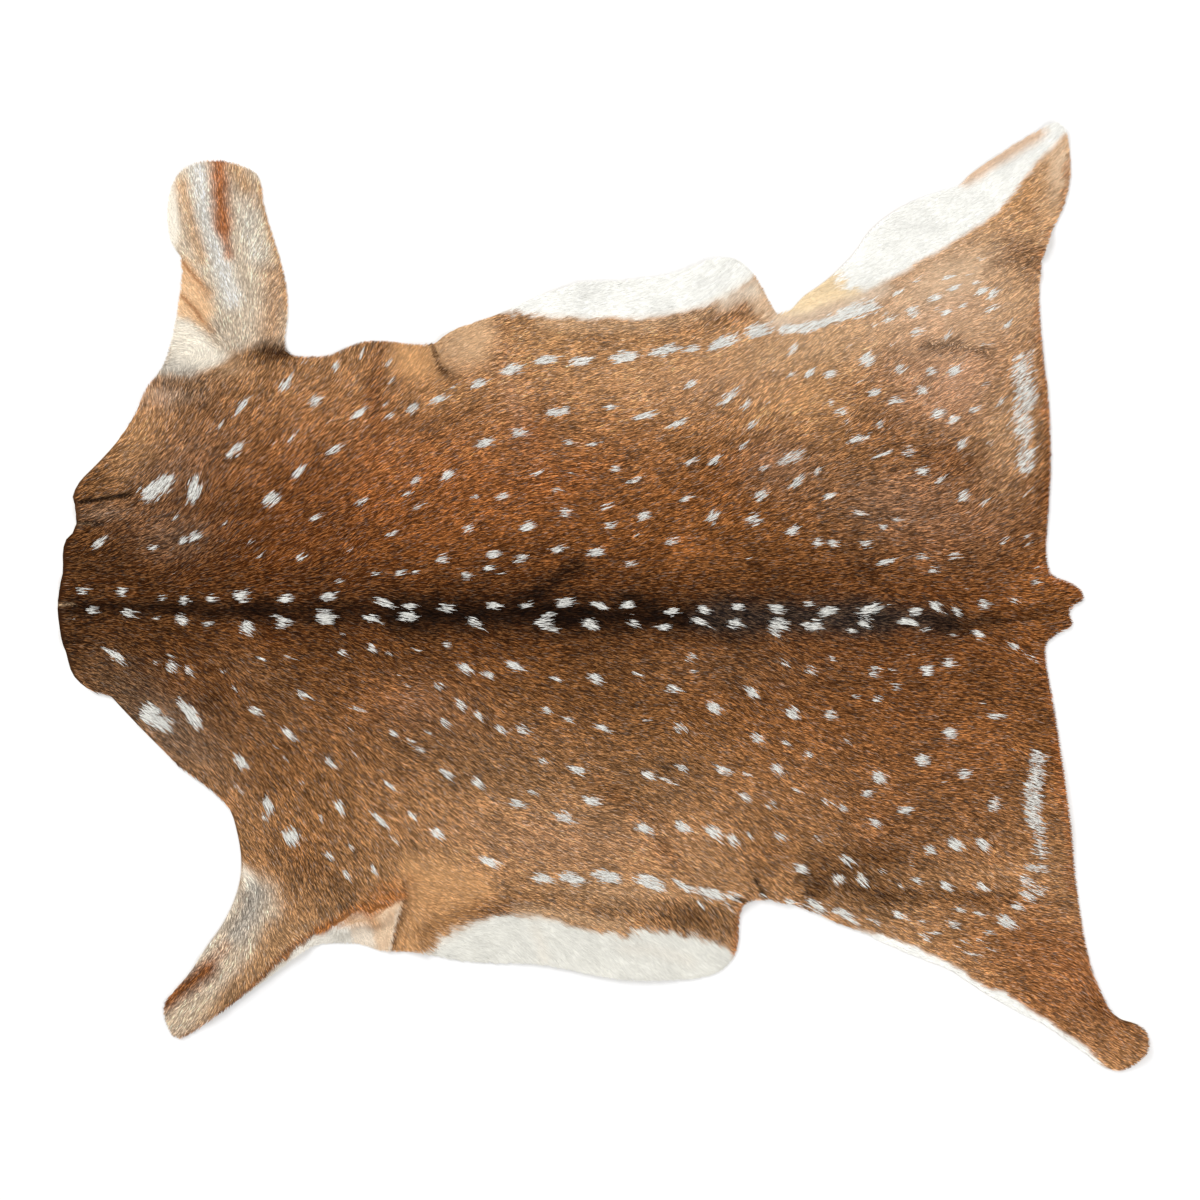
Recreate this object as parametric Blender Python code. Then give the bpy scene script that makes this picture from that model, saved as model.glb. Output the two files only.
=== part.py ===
"""A spotted deer hide, tanned with the hair on, lying flat with its hair up.

The neck points along -X, the tail along +X, and the spine runs along X a little below the middle.
The flesh side rests on Z = 0, and the folds lift it from there.
One closed sheet holds the skin and the lying hair together.
"""

import bmesh
import bpy
import numpy as np
from mathutils import Vector
from mathutils.geometry import delaunay_2d_cdt

# Driving dimensions, in metres
HIDE_LENGTH = 1.095
HIDE_WIDTH = 0.950
SKIN_THICKNESS = 0.0014
PILE_THICKNESS = 0.0038
RIM_THICKNESS = 0.0026
RIM_SLOPE = 0.016
HAIR_OVERHANG = 0.003

# Spacing of the sheet's points, in metres
OUTLINE_STEP = 0.009
FLAT_STEP = 0.042
FOLD_STEP = 0.010
CLOSEST = 0.0038
CURVE_STEPS = 8

# Where a fold's rows of points run, as shares of its half width to either side of its crest
FOLD_ROWS = (-1.0, -0.6, -0.2, 0.2, 0.6, 1.0)

# The lists below give places in millimetres from the middle of the hide
MM = 0.001

COAT_COLOUR = (0.27, 0.13, 0.055, 1.0)
COAT_ROUGHNESS = 0.85

# The hide's edge, clockwise as seen from the hair side, as (x, y) in millimetres
OUTLINE = {
    "neck side": (
        (-531, 99), (-525, 114), (-505, 135), (-487, 155), (-469, 181), (-455, 209), (-441, 227),
    ),
    "upper foreleg": (
        (-430, 260), (-425, 288), (-421, 318), (-422, 336), (-431, 349), (-435, 369), (-435, 390),
        (-432, 407), (-423, 423), (-402, 434), (-380, 436), (-360, 431), (-344, 423), (-338, 410),
        (-337, 395), (-330, 369), (-321, 341), (-314, 313), (-312, 280), (-315, 250), (-311, 243),
    ),
    "upper flank": (
        (-291, 240), (-270, 242), (-253, 250), (-240, 255), (-219, 256), (-182, 252), (-171, 252),
        (-164, 258), (-151, 267), (-126, 276), (-100, 286), (-78, 296), (-47, 308), (-21, 314),
        (12, 315), (37, 318), (68, 322), (100, 334), (123, 338), (137, 336), (151, 324),
        (161, 308), (169, 293), (178, 280),
    ),
    "upper hind leg": (
        (187, 288), (200, 302), (215, 312), (233, 327), (251, 346), (263, 364), (281, 380),
        (304, 394), (330, 403), (353, 410), (361, 419), (375, 430), (394, 442), (413, 454),
        (440, 468), (451, 474), (461, 469), (465, 461), (468, 443), (469, 420), (467, 407),
        (461, 386), (451, 365), (444, 346), (440, 329), (438, 310), (438, 287), (442, 239),
    ),
    "upper rump": (
        (447, 197), (449, 159), (449, 120), (447, 82), (445, 44), (447, 29), (449, 22),
    ),
    "tail": (
        (458, 18), (471, 13), (480, 6), (483, 1), (479, -7), (470, -10), (466, -15),
        (470, -22), (471, -29), (467, -34), (456, -38), (447, -44), (444, -50),
    ),
    "lower rump": (
        (445, -68), (449, -91), (454, -119), (459, -152), (466, -203), (470, -237), (474, -280),
    ),
    "lower hind leg": (
        (478, -310), (484, -346), (491, -375), (501, -398), (508, -412), (518, -419), (531, -423),
        (543, -431), (547, -440), (547, -450), (543, -459), (531, -469), (518, -475), (505, -473),
        (493, -469), (482, -459), (461, -444), (432, -425), (403, -411), (380, -398), (361, -385),
        (342, -373), (317, -363), (289, -352), (261, -338), (232, -327), (205, -315), (178, -307),
    ),
    "lower flank": (
        (163, -304), (147, -306), (141, -312), (138, -329), (137, -349), (132, -362), (119, -375),
        (99, -381), (66, -383), (28, -383), (-3, -379), (-36, -372), (-67, -367), (-119, -366),
        (-145, -364), (-170, -359), (-186, -356), (-211, -356), (-226, -354), (-239, -349),
        (-283, -349), (-293, -353),
    ),
    "lower foreleg": (
        (-311, -366), (-336, -385), (-362, -404), (-387, -422), (-410, -438), (-420, -443),
        (-428, -441), (-436, -427), (-439, -414), (-438, -404), (-428, -391), (-413, -373),
        (-397, -348), (-382, -327), (-371, -305), (-364, -282), (-363, -261), (-367, -236),
        (-374, -214), (-387, -199), (-403, -186), (-423, -172),
    ),
    "neck": (
        (-444, -152), (-464, -132), (-482, -113), (-495, -100), (-508, -98), (-520, -91),
        (-531, -79), (-538, -56), (-543, -38), (-546, -17), (-545, 3), (-541, 24), (-541, 44),
        (-538, 57), (-529, 67), (-527, 77), (-529, 92),
    ),
}

# Each fold is a soft ridge along its route. All sizes are in millimetres.
# A fold grows over its rise and dies over its fall, and a length of 0 means that it runs off the edge.
FOLD_COLUMNS = ("name", "height", "half_width", "rise", "fall", "route")
FOLDS = (
    ("spine", 3.0, 25, 60, 40,
     ((-515, -14), (-352, -11), (-182, -15), (-42, -8), (98, -15), (278, -13), (460, -15))),
    ("neck pleat, upper", 5.0, 11, 0, 35, ((-536, 84), (-500, 82), (-468, 86))),
    ("neck pleat, middle", 3.0, 11, 0, 30, ((-548, 14), (-516, 12), (-490, 14))),
    ("neck pleat, lower", 4.5, 12, 0, 35, ((-545, -45), (-512, -43), (-478, -46))),
    ("upper foreleg, long", 4.5, 15, 20, 40, ((-412, 345), (-398, 300), (-372, 248))),
    ("upper foreleg, root", 5.0, 14, 25, 0, ((-372, 224), (-345, 232), (-310, 232))),
    ("upper elbow, fore", 5.0, 13, 0, 30, ((-186, 256), (-180, 236), (-160, 212))),
    ("upper elbow, rear", 4.0, 12, 0, 28, ((-160, 266), (-152, 244), (-130, 226))),
    ("upper shank", 6.5, 20, 25, 0, ((366, 328), (404, 350), (446, 350))),
    ("upper thigh", 4.0, 24, 35, 35, ((306, 262), (350, 264), (396, 254))),
    ("lower elbow, arch", 7.0, 14, 20, 25,
     ((-286, -336), (-257, -328), (-230, -322), (-202, -308), (-194, -274))),
    ("lower elbow, rear", 5.0, 13, 0, 30, ((-184, -360), (-178, -330), (-172, -290))),
    ("lower foreleg, rolled edge", 7.0, 14, 20, 20, ((-284, -342), (-338, -376), (-408, -428))),
    ("lower stifle, fore", 4.0, 12, 0, 25, ((141, -308), (146, -285), (148, -255))),
    ("lower stifle, rear", 4.0, 12, 0, 25, ((176, -310), (172, -288), (164, -262))),
    ("lower thigh", 3.5, 24, 35, 35, ((226, -306), (258, -300), (296, -312))),
    ("belly edge, upper", 4.0, 34, 60, 50, ((-80, 312), (0, 330), (90, 346), (140, 350))),
    ("belly edge, lower", 4.0, 36, 60, 60, ((-120, -380), (0, -396), (100, -400))),
    ("rump edge", 3.0, 30, 60, 60, ((462, -130), (474, -210), (482, -290))),
    ("hind toe, upper", 5.0, 26, 0, 30, ((462, 480), (440, 440))),
    ("fore toe, upper", 4.0, 26, 0, 30, ((-420, 438), (-396, 410))),
    ("hind toe, lower", 5.0, 30, 0, 35, ((552, -460), (505, -440))),
)


def smooth(value):
    """0 to 1 with level ends."""
    value = np.clip(value, 0.0, 1.0)
    return value * value * (3.0 - 2.0 * value)


def closed_curve(points, steps):
    """A smooth closed curve through the points, with its bends spread by their spacing."""
    curve = []
    count = len(points)
    for i in range(count):
        p0, p1, p2, p3 = (points[(i + k) % count] for k in (-1, 0, 1, 2))
        t0 = 0.0
        t1 = t0 + np.linalg.norm(p1 - p0) ** 0.5
        t2 = t1 + np.linalg.norm(p2 - p1) ** 0.5
        t3 = t2 + np.linalg.norm(p3 - p2) ** 0.5
        for t in np.linspace(t1, t2, steps, endpoint=False):
            a1 = (t1 - t) / (t1 - t0) * p0 + (t - t0) / (t1 - t0) * p1
            a2 = (t2 - t) / (t2 - t1) * p1 + (t - t1) / (t2 - t1) * p2
            a3 = (t3 - t) / (t3 - t2) * p2 + (t - t2) / (t3 - t2) * p3
            b1 = (t2 - t) / (t2 - t0) * a1 + (t - t0) / (t2 - t0) * a2
            b2 = (t3 - t) / (t3 - t1) * a2 + (t - t1) / (t3 - t1) * a3
            curve.append((t2 - t) / (t2 - t1) * b1 + (t - t1) / (t2 - t1) * b2)
    return np.array(curve)


def evenly_spaced(curve, step):
    """Points a step apart along a closed curve."""
    loop = np.vstack([curve, curve[:1]])
    along = np.concatenate([[0.0], np.cumsum(np.linalg.norm(np.diff(loop, axis=0), axis=1))])
    places = np.linspace(0.0, along[-1], round(along[-1] / step), endpoint=False)
    return np.stack([np.interp(places, along, loop[:, k]) for k in (0, 1)], axis=1)


def route_measures(points, route):
    """How far each point is from a route, and how far along the route its nearest place is."""
    nearest = np.full(len(points), np.inf)
    place = np.zeros(len(points))
    start = 0.0
    for a, b in zip(route[:-1], route[1:]):
        length = np.linalg.norm(b - a)
        share = np.clip((points - a) @ (b - a) / length**2, 0.0, 1.0)
        distance = np.linalg.norm(points - (a + share[:, None] * (b - a)), axis=1)
        closer = distance < nearest
        nearest[closer] = distance[closer]
        place[closer] = start + share[closer] * length
        start += length
    return nearest, place, start


def inside(points, outline):
    """Which points lie within the outline, by counting the edges to their right."""
    crossings = np.zeros(len(points), int)
    for a, b in zip(outline, np.roll(outline, -1, axis=0)):
        spans = (a[1] > points[:, 1]) != (b[1] > points[:, 1])
        run = b[1] - a[1] if b[1] != a[1] else 1.0
        reach = a[0] + (points[:, 1] - a[1]) * (b[0] - a[0]) / run
        crossings += spans & (points[:, 0] < reach)
    return crossings % 2 == 1


class Fold:
    """One row of the fold table, in metres and in the part's frame."""

    def __init__(self, row, place):
        named = dict(zip(FOLD_COLUMNS, row))
        self.height = named["height"] * MM
        self.half_width = named["half_width"] * MM
        self.rise = named["rise"] * MM
        self.fall = named["fall"] * MM
        self.route = place(np.array(named["route"], float))

    def clear_of(self, points, margin):
        return route_measures(points, self.route)[0] > self.half_width + margin

    def rows(self):
        """Points in rows along the route, from one foot of the fold over its crest to the other."""
        run = np.diff(self.route, axis=0)
        along = np.concatenate([[0.0], np.cumsum(np.linalg.norm(run, axis=1))])
        places = np.linspace(0.0, along[-1], round(along[-1] / FOLD_STEP) + 1)
        crest = np.stack([np.interp(places, along, self.route[:, k]) for k in (0, 1)], axis=1)
        heading = np.gradient(crest, axis=0)
        heading /= np.linalg.norm(heading, axis=1)[:, None]
        across = np.stack([-heading[:, 1], heading[:, 0]], axis=1)
        return np.vstack([crest + across * self.half_width * share for share in FOLD_ROWS])

    def lift(self, points):
        distance, along, length = route_measures(points, self.route)
        height = self.height * smooth(1.0 - distance / self.half_width)
        if self.rise:
            height = height * smooth(along / self.rise)
        if self.fall:
            height = height * smooth((length - along) / self.fall)
        return height


def triangular_grid(step, low, high):
    """Points a step apart in rows that are shifted by half a step in turn."""
    rows = np.arange(low[1], high[1], step * 0.75**0.5)
    columns = np.arange(low[0], high[0], step)
    return np.array([(x + step / 2 * (k % 2), y) for k, y in enumerate(rows) for x in columns])


def sheet_points(outline, folds):
    """Points within the outline: close together on the folds and far apart where it is flat."""
    loop = np.vstack([outline, outline[:1]])

    def within(points, gap):
        points = points[inside(points, outline)]
        return points[route_measures(points, loop)[0] > gap]

    chosen = []
    for point in within(np.vstack([fold.rows() for fold in folds]), CLOSEST):
        if all(np.hypot(*(point - other)) > CLOSEST for other in chosen):
            chosen.append(point)
    flat = within(triangular_grid(FLAT_STEP, outline.min(axis=0), outline.max(axis=0)), FLAT_STEP / 2)
    for fold in folds:
        flat = flat[fold.clear_of(flat, FOLD_STEP)]
    return np.vstack([chosen, flat])


def inward_normals(outline):
    """Unit vectors that point into a clockwise outline."""
    run = np.roll(outline, -1, axis=0) - np.roll(outline, 1, axis=0)
    run /= np.linalg.norm(run, axis=1)[:, None]
    return np.stack([run[:, 1], -run[:, 0]], axis=1)


def hide_outline():
    """The hide's edge in metres, and the function that puts a table's places in the same frame."""
    landmarks = np.array([p for stretch in OUTLINE.values() for p in stretch], float)
    edge = evenly_spaced(closed_curve(landmarks, CURVE_STEPS), OUTLINE_STEP / MM)
    low, high = edge.min(axis=0), edge.max(axis=0)
    scale = np.array([HIDE_LENGTH, HIDE_WIDTH]) / (high - low)

    def place(points):
        return (points - (low + high) / 2) * scale

    return place(edge), place


def pile_height(points, outline):
    """The sheet's thickness: full inside, and thinning to the rim where the hair lies down."""
    from_rim = route_measures(points, np.vstack([outline, outline[:1]]))[0]
    full = SKIN_THICKNESS + PILE_THICKNESS
    return RIM_THICKNESS + (full - RIM_THICKNESS) * smooth(from_rim / RIM_SLOPE)


def hide_sheet():
    """The flesh side as a mesh of triangles, raised to the hair side and closed at its rim."""
    outline, place = hide_outline()
    folds = [Fold(row, place) for row in FOLDS]
    points = np.vstack([outline, sheet_points(outline, folds)])
    count = len(outline)
    edges = [(i, (i + 1) % count) for i in range(count)]
    triangulated = delaunay_2d_cdt([Vector(p) for p in points], edges, [], 1, 1e-6)
    hair_side = np.array([tuple(p) for p in triangulated[0]])
    flesh_side = hair_side.copy()
    flesh_side[:count] += inward_normals(outline) * HAIR_OVERHANG
    lift = sum(fold.lift(hair_side) for fold in folds)
    top = lift + pile_height(hair_side, outline)

    mesh = bmesh.new()
    row = mesh.verts.layers.int.new("row")
    for i, (x, y) in enumerate(flesh_side):
        mesh.verts.new((x, y, lift[i]))[row] = i
    mesh.verts.ensure_lookup_table()
    for face in triangulated[2]:
        mesh.faces.new([mesh.verts[i] for i in reversed(face)])
    raised = bmesh.ops.extrude_face_region(mesh, geom=mesh.faces[:], use_keep_orig=True)
    for item in raised["geom"]:
        if isinstance(item, bmesh.types.BMVert):
            i = item[row]
            item.co = (hair_side[i][0], hair_side[i][1], top[i])
    bmesh.ops.recalc_face_normals(mesh, faces=mesh.faces[:])
    return mesh


def coat_material():
    material = bpy.data.materials.new("deer coat")
    material.use_nodes = True
    shader = material.node_tree.nodes["Principled BSDF"]
    shader.inputs["Base Color"].default_value = COAT_COLOUR
    shader.inputs["Roughness"].default_value = COAT_ROUGHNESS
    shader.inputs["Metallic"].default_value = 0.0
    return material


def main():
    for item in list(bpy.data.objects):
        bpy.data.objects.remove(item)
    sheet = hide_sheet()
    mesh = bpy.data.meshes.new("hide")
    sheet.to_mesh(mesh)
    sheet.free()
    mesh.shade_smooth()
    mesh.materials.append(coat_material())
    hide = bpy.data.objects.new("hide", mesh)
    bpy.context.scene.collection.objects.link(hide)


main()
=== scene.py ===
"""The looks of a spotted deer hide that lies flat with its hair up.

The skin is a thin sheet on the hide's folds. The coat is made of tapered hairs that are rooted in it,
and the charts below give their lie, length and colour. Places in the charts are in millimetres from
the hide's middle, with +X towards the tail and +Y across, and angles are in degrees from +X.
"""

import math

import bmesh
import bpy
import numpy as np
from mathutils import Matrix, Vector
from mathutils.bvhtree import BVHTree


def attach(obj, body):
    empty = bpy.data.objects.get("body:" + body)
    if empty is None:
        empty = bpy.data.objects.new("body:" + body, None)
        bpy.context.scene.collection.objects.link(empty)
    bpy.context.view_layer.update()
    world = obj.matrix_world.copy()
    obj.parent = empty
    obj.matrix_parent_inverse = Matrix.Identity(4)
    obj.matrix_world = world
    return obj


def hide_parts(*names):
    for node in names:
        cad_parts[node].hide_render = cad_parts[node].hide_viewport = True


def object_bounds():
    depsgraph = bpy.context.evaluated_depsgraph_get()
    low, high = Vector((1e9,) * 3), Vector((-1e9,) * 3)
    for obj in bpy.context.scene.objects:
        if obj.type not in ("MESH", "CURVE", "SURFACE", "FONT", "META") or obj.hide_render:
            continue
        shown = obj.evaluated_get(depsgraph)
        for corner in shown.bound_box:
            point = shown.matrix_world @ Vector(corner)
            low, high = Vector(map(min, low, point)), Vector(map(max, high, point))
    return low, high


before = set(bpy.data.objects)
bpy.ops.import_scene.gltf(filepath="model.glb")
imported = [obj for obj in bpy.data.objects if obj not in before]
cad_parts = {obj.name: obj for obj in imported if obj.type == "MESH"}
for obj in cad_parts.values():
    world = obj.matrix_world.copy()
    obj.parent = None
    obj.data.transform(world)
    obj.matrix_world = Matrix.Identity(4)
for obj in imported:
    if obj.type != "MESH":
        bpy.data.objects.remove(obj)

CAD_BOX = [list(map(float, corner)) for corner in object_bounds()]
MM = 0.001

# Seeds of the hairs' own random values and of the smooth random charts, and the points on a side of the
# grid that such a chart is read from
SEED = 7
WAVER_SEEDS = (11, 12)
COCKLE_SEED = 21
LOCK_SEED = 31
MOTTLE_SEED = 40
STREAK_SEED = 51
LINE_SEED = 61
TUFT_SEED = 62
LATTICE = 512

# The skin, whose triangles are smaller near a crease
SKIN_THICKNESS = 1.4 * MM
WELD_DISTANCE = 1e-6
SKIN_EDGE = 9.0 * MM
CREASE_EDGE = 3.2 * MM
CREASE_REACH = 9.0 * MM
EDGE_ALLOWANCE = 1.4
SPLIT_ROUNDS = 6
SKIN_SMOOTHING = 4
SMOOTHING_STRENGTH = 0.5

# The slight cockling of the skin, which rises only where the random chart is high
COCKLE_HEIGHT = 0.7 * MM
COCKLE_SIZE = 55 * MM
COCKLE_SLOPE = 1.4
COCKLE_START = 0.2

# A crease's ridge reaches this many half widths to each side, and its trough one
RIDGE_REACH = 2.0

# The size of the hairs, with how far along their thickest place is and how much of the rise and bend
# they have there
HAIR_SPACING = 1.2 * MM
HAIR_LENGTH = 9.0 * MM
LENGTH_SPREAD = (0.8, 1.15)
SHORTEST_HAIR = 3.0 * MM
HAIR_WIDTH = 0.62 * MM
WIDTH_SPREAD = (0.75, 1.25)
HAIR_RISE = 3.2 * MM
HAIR_BEND = 0.035
HAIR_MIDDLE = 0.55
MIDDLE_RISE = 0.7
MIDDLE_BEND = 0.3

# How the hairs stand on the skin, follow its slope, lean from their lie and end at its rim
ROOT_DEPTH = 0.3 * MM
LOWEST = 0.3 * MM
STEEPEST = 0.35
LEAST_UPRIGHT = 0.3
LEAN_SPREAD = 5.0
LOCK_SPREAD = 4.0
LOCK_SIZE = 5.0 * MM
ROLL_SPREAD = 20.0
OVERHANG = (0.1 * MM, 1.8 * MM)
RAY_HEIGHT = 0.1

# The meshes of the hairs from neck to rump, and the part of its square in the bake's map that a hair
# fills
HAIR_PIECES = ("hair_neck", "hair_shoulder", "hair_saddle", "hair_loin", "hair_rump")
BAKE_SQUARE = (0.1, 0.9)

# Hairs at the foot of a crease: their share of the length, and the start and slope of the fade from it
PARTING_SHARE = 0.4
PARTING_FADE = (1.5, 2.5)

# The part of a hair that is seen: how far along it takes its colour, and how much it lengthens a spot
SEEN_SHARE = 0.7
SEEN_LENGTH = 5.6

# The lie's chart: the step of its grid, how near a guide's pull levels off, and how fast it falls away
FLOW_GRID = 6.0
GUIDE_REACH = 8.0
GUIDE_FALL = 3

# White hairs of the spots are finer, reach further and lie on the others. A hair is white where the
# spots' share is over its threshold, and none is lighter than the brightest
SPOT_LIFT = (0.0 * MM, 0.7 * MM)
SPOT_LENGTH = (0.8, 1.5)
SPOT_WIDTH = 0.85
SPOT_SHADE = (0.76, 1.1)
BRIGHTEST = 0.98
SPOT_THRESHOLD = (0.06, 0.96)

# A spot's smallest half length and half width, and the start and slope of the fade at its edge
LEAST_HALF_LENGTH = 2.0
LEAST_HALF_WIDTH = 1.2
SPOT_FADE = (1.62, 1.24)

# In half widths of a stripe, where the fade at its edge starts and how far off it may still be seen
STRIPE_FADE = 1.6
STRIPE_REACH = 2.5

# Streaks along the lie make the edges of spots and stripes ragged, and leave gaps in the spots: more in
# a faint one, and none in one of the gapless share
STREAK_SIZE = (11.0, 1.4)
SPOT_STREAKS = 0.35
STRIPE_STREAKS = 0.7
SPOT_GAPS = 0.65
GAPLESS_SHARE = 1.4
GAP_SLOPE = 3.0
GAP_START = 0.8

# Guard hairs lie over the rest, and are darker or lighter than the coat's tone, partly in their own
# colour and partly as painted sheen
DARK_HAIRS = 0.3
LIGHT_HAIRS = 0.3
DARK_SHADE = (0.22, 0.52)
LIGHT_SHADE = (1.4, 2.05)
PLAIN_SHADE = (0.7, 1.05)
GUARD_RISE = (0.8, 1.2)
PLAIN_RISE = (0.6, 1.05)

# Light hairs have a straw cast, which fades to nothing at this lightness of the coat
STRAW_CAST = (1.5, 1.0, 0.4)
STRAW_SHARE = 0.24
STRAW_END = 0.36

# Some hairs are greyer than the coat
ASH_HAIRS = 0.14
ASH_CAST = (1.1, 1.0, 0.9)
ASH_SHARE = 0.6

# Light hairs have a golden fleck where the coat's lightness is about between these two
FLECK_SHARE = 0.13
FLECKED = (0.05, 0.22)

# A calm coat has flatter and wider hairs, all of one tone. Calmness grows from none to full between the
# two lightnesses
PALE = (0.13, 0.68)
CALM_SHADE = (0.9, 1.08)
CALM_TICKED = 0.1
CALM_RISE = 0.7
CALM_WIDTH = 1.4
CALM_ROLL = 0.7

# The undercoat's shade of the coat's tone, where it is ticked and where it is calm
UNDERCOAT_SHADE = (0.35, 0.97)

# Light and dark lines that run along the lie, as locks of the coat do: places to average along a line,
# its width, its strength, and its strength in a calm coat
LINE_STEPS = (-6.0, -3.0, 0.0, 3.0, 6.0)
LINE_SIZE = 1.3
LINE_STRENGTH = 0.45
CALM_LINES = 0.08

# Tufts move the tones along the lie by about this many millimetres, and are about this wide
RAGGED = 6.0
TUFT_SIZE = 6.0

# Over what length the edges of the tones waver, and how far, in millimetres
WAVER_SIZE = 9.0
BROAD_WAVER = 3.0
AREA_WAVER = 1.5
FINE_WAVER = 1.0

# Soft light and dark blotches of the coat, by size in millimetres and strength
MOTTLES = ((46, 0.15), (17, 0.14))

# How much darker a ticked hair is at its root and at its tip, and the range that most values of a noise
# lie in
ROOT_SHADE = 0.6
TIP_SHADE = 0.35
NOISE_RANGE = (0.3, 0.7)

# The studio: the floor, the lights with their place, size and power, and the camera
FLOOR_SIZE = 6.0
FLOOR_DROP = 0.2 * MM
FLOOR_TONE = (0.9, 0.9, 0.9, 1.0)
LIGHTS = (
    ("key", (-1.6, 1.8, 2.4), 2.0, 62.0),
    ("fill", (2.0, -1.2, 2.4), 2.5, 38.0),
)
SKY_TONE = (1.0, 1.0, 1.0, 1.0)
SKY_STRENGTH = 0.7
LENS = 90.0
CAMERA_PLACE = (-0.0025, -0.003, 3.0)


def linear(*tone):
    """A colour from its 0 to 255 values, as light."""
    return np.array([(c / 255 / 12.92 if c < 10.3 else ((c / 255 + 0.055) / 1.055) ** 2.4) for c in tone])


TONES = {
    "golden": linear(198, 150, 104),
    "amber": linear(168, 112, 62),
    "chestnut": linear(136, 80, 34),
    "umber": linear(80, 45, 17),
    "brown": linear(112, 68, 32),
    "deep brown": linear(90, 46, 12),
    "russet": linear(142, 84, 42),
    "grey brown": linear(146, 106, 72),
    "dark brown": linear(96, 56, 26),
    "dusk": linear(150, 102, 58),
    "copper": linear(184, 99, 42),
    "hazel": linear(178, 138, 98),
    "ginger": linear(196, 124, 66),
    "rose tan": linear(210, 164, 132),
    "black brown": linear(38, 18, 6),
    "slate brown": linear(61, 48, 43),
    "shadow": linear(34, 20, 12),
    "tan": linear(214, 164, 112),
    "wheat": linear(222, 186, 146),
    "apricot": linear(232, 188, 140),
    "peach": linear(232, 204, 172),
    "butter": linear(240, 216, 176),
    "rust": linear(184, 112, 62),
    "cream": linear(238, 230, 214),
    "white": linear(244, 243, 237),
    "stone": linear(226, 220, 208),
    "fawn": linear(223, 206, 183),
    "steel": linear(186, 178, 166),
    "ivory": linear(222, 220, 211),
}

# Bands: the half width is where the share has fallen to a half
BAND_COLUMNS = ("name", "tone", "share", "half_width", "route")
BANDS = (
    ("flanks", "amber", 1.0, 185, ((-560, -10), (480, -10))),
    ("back", "chestnut", 1.0, 105, ((-560, 0), (480, -20))),
)

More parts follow.
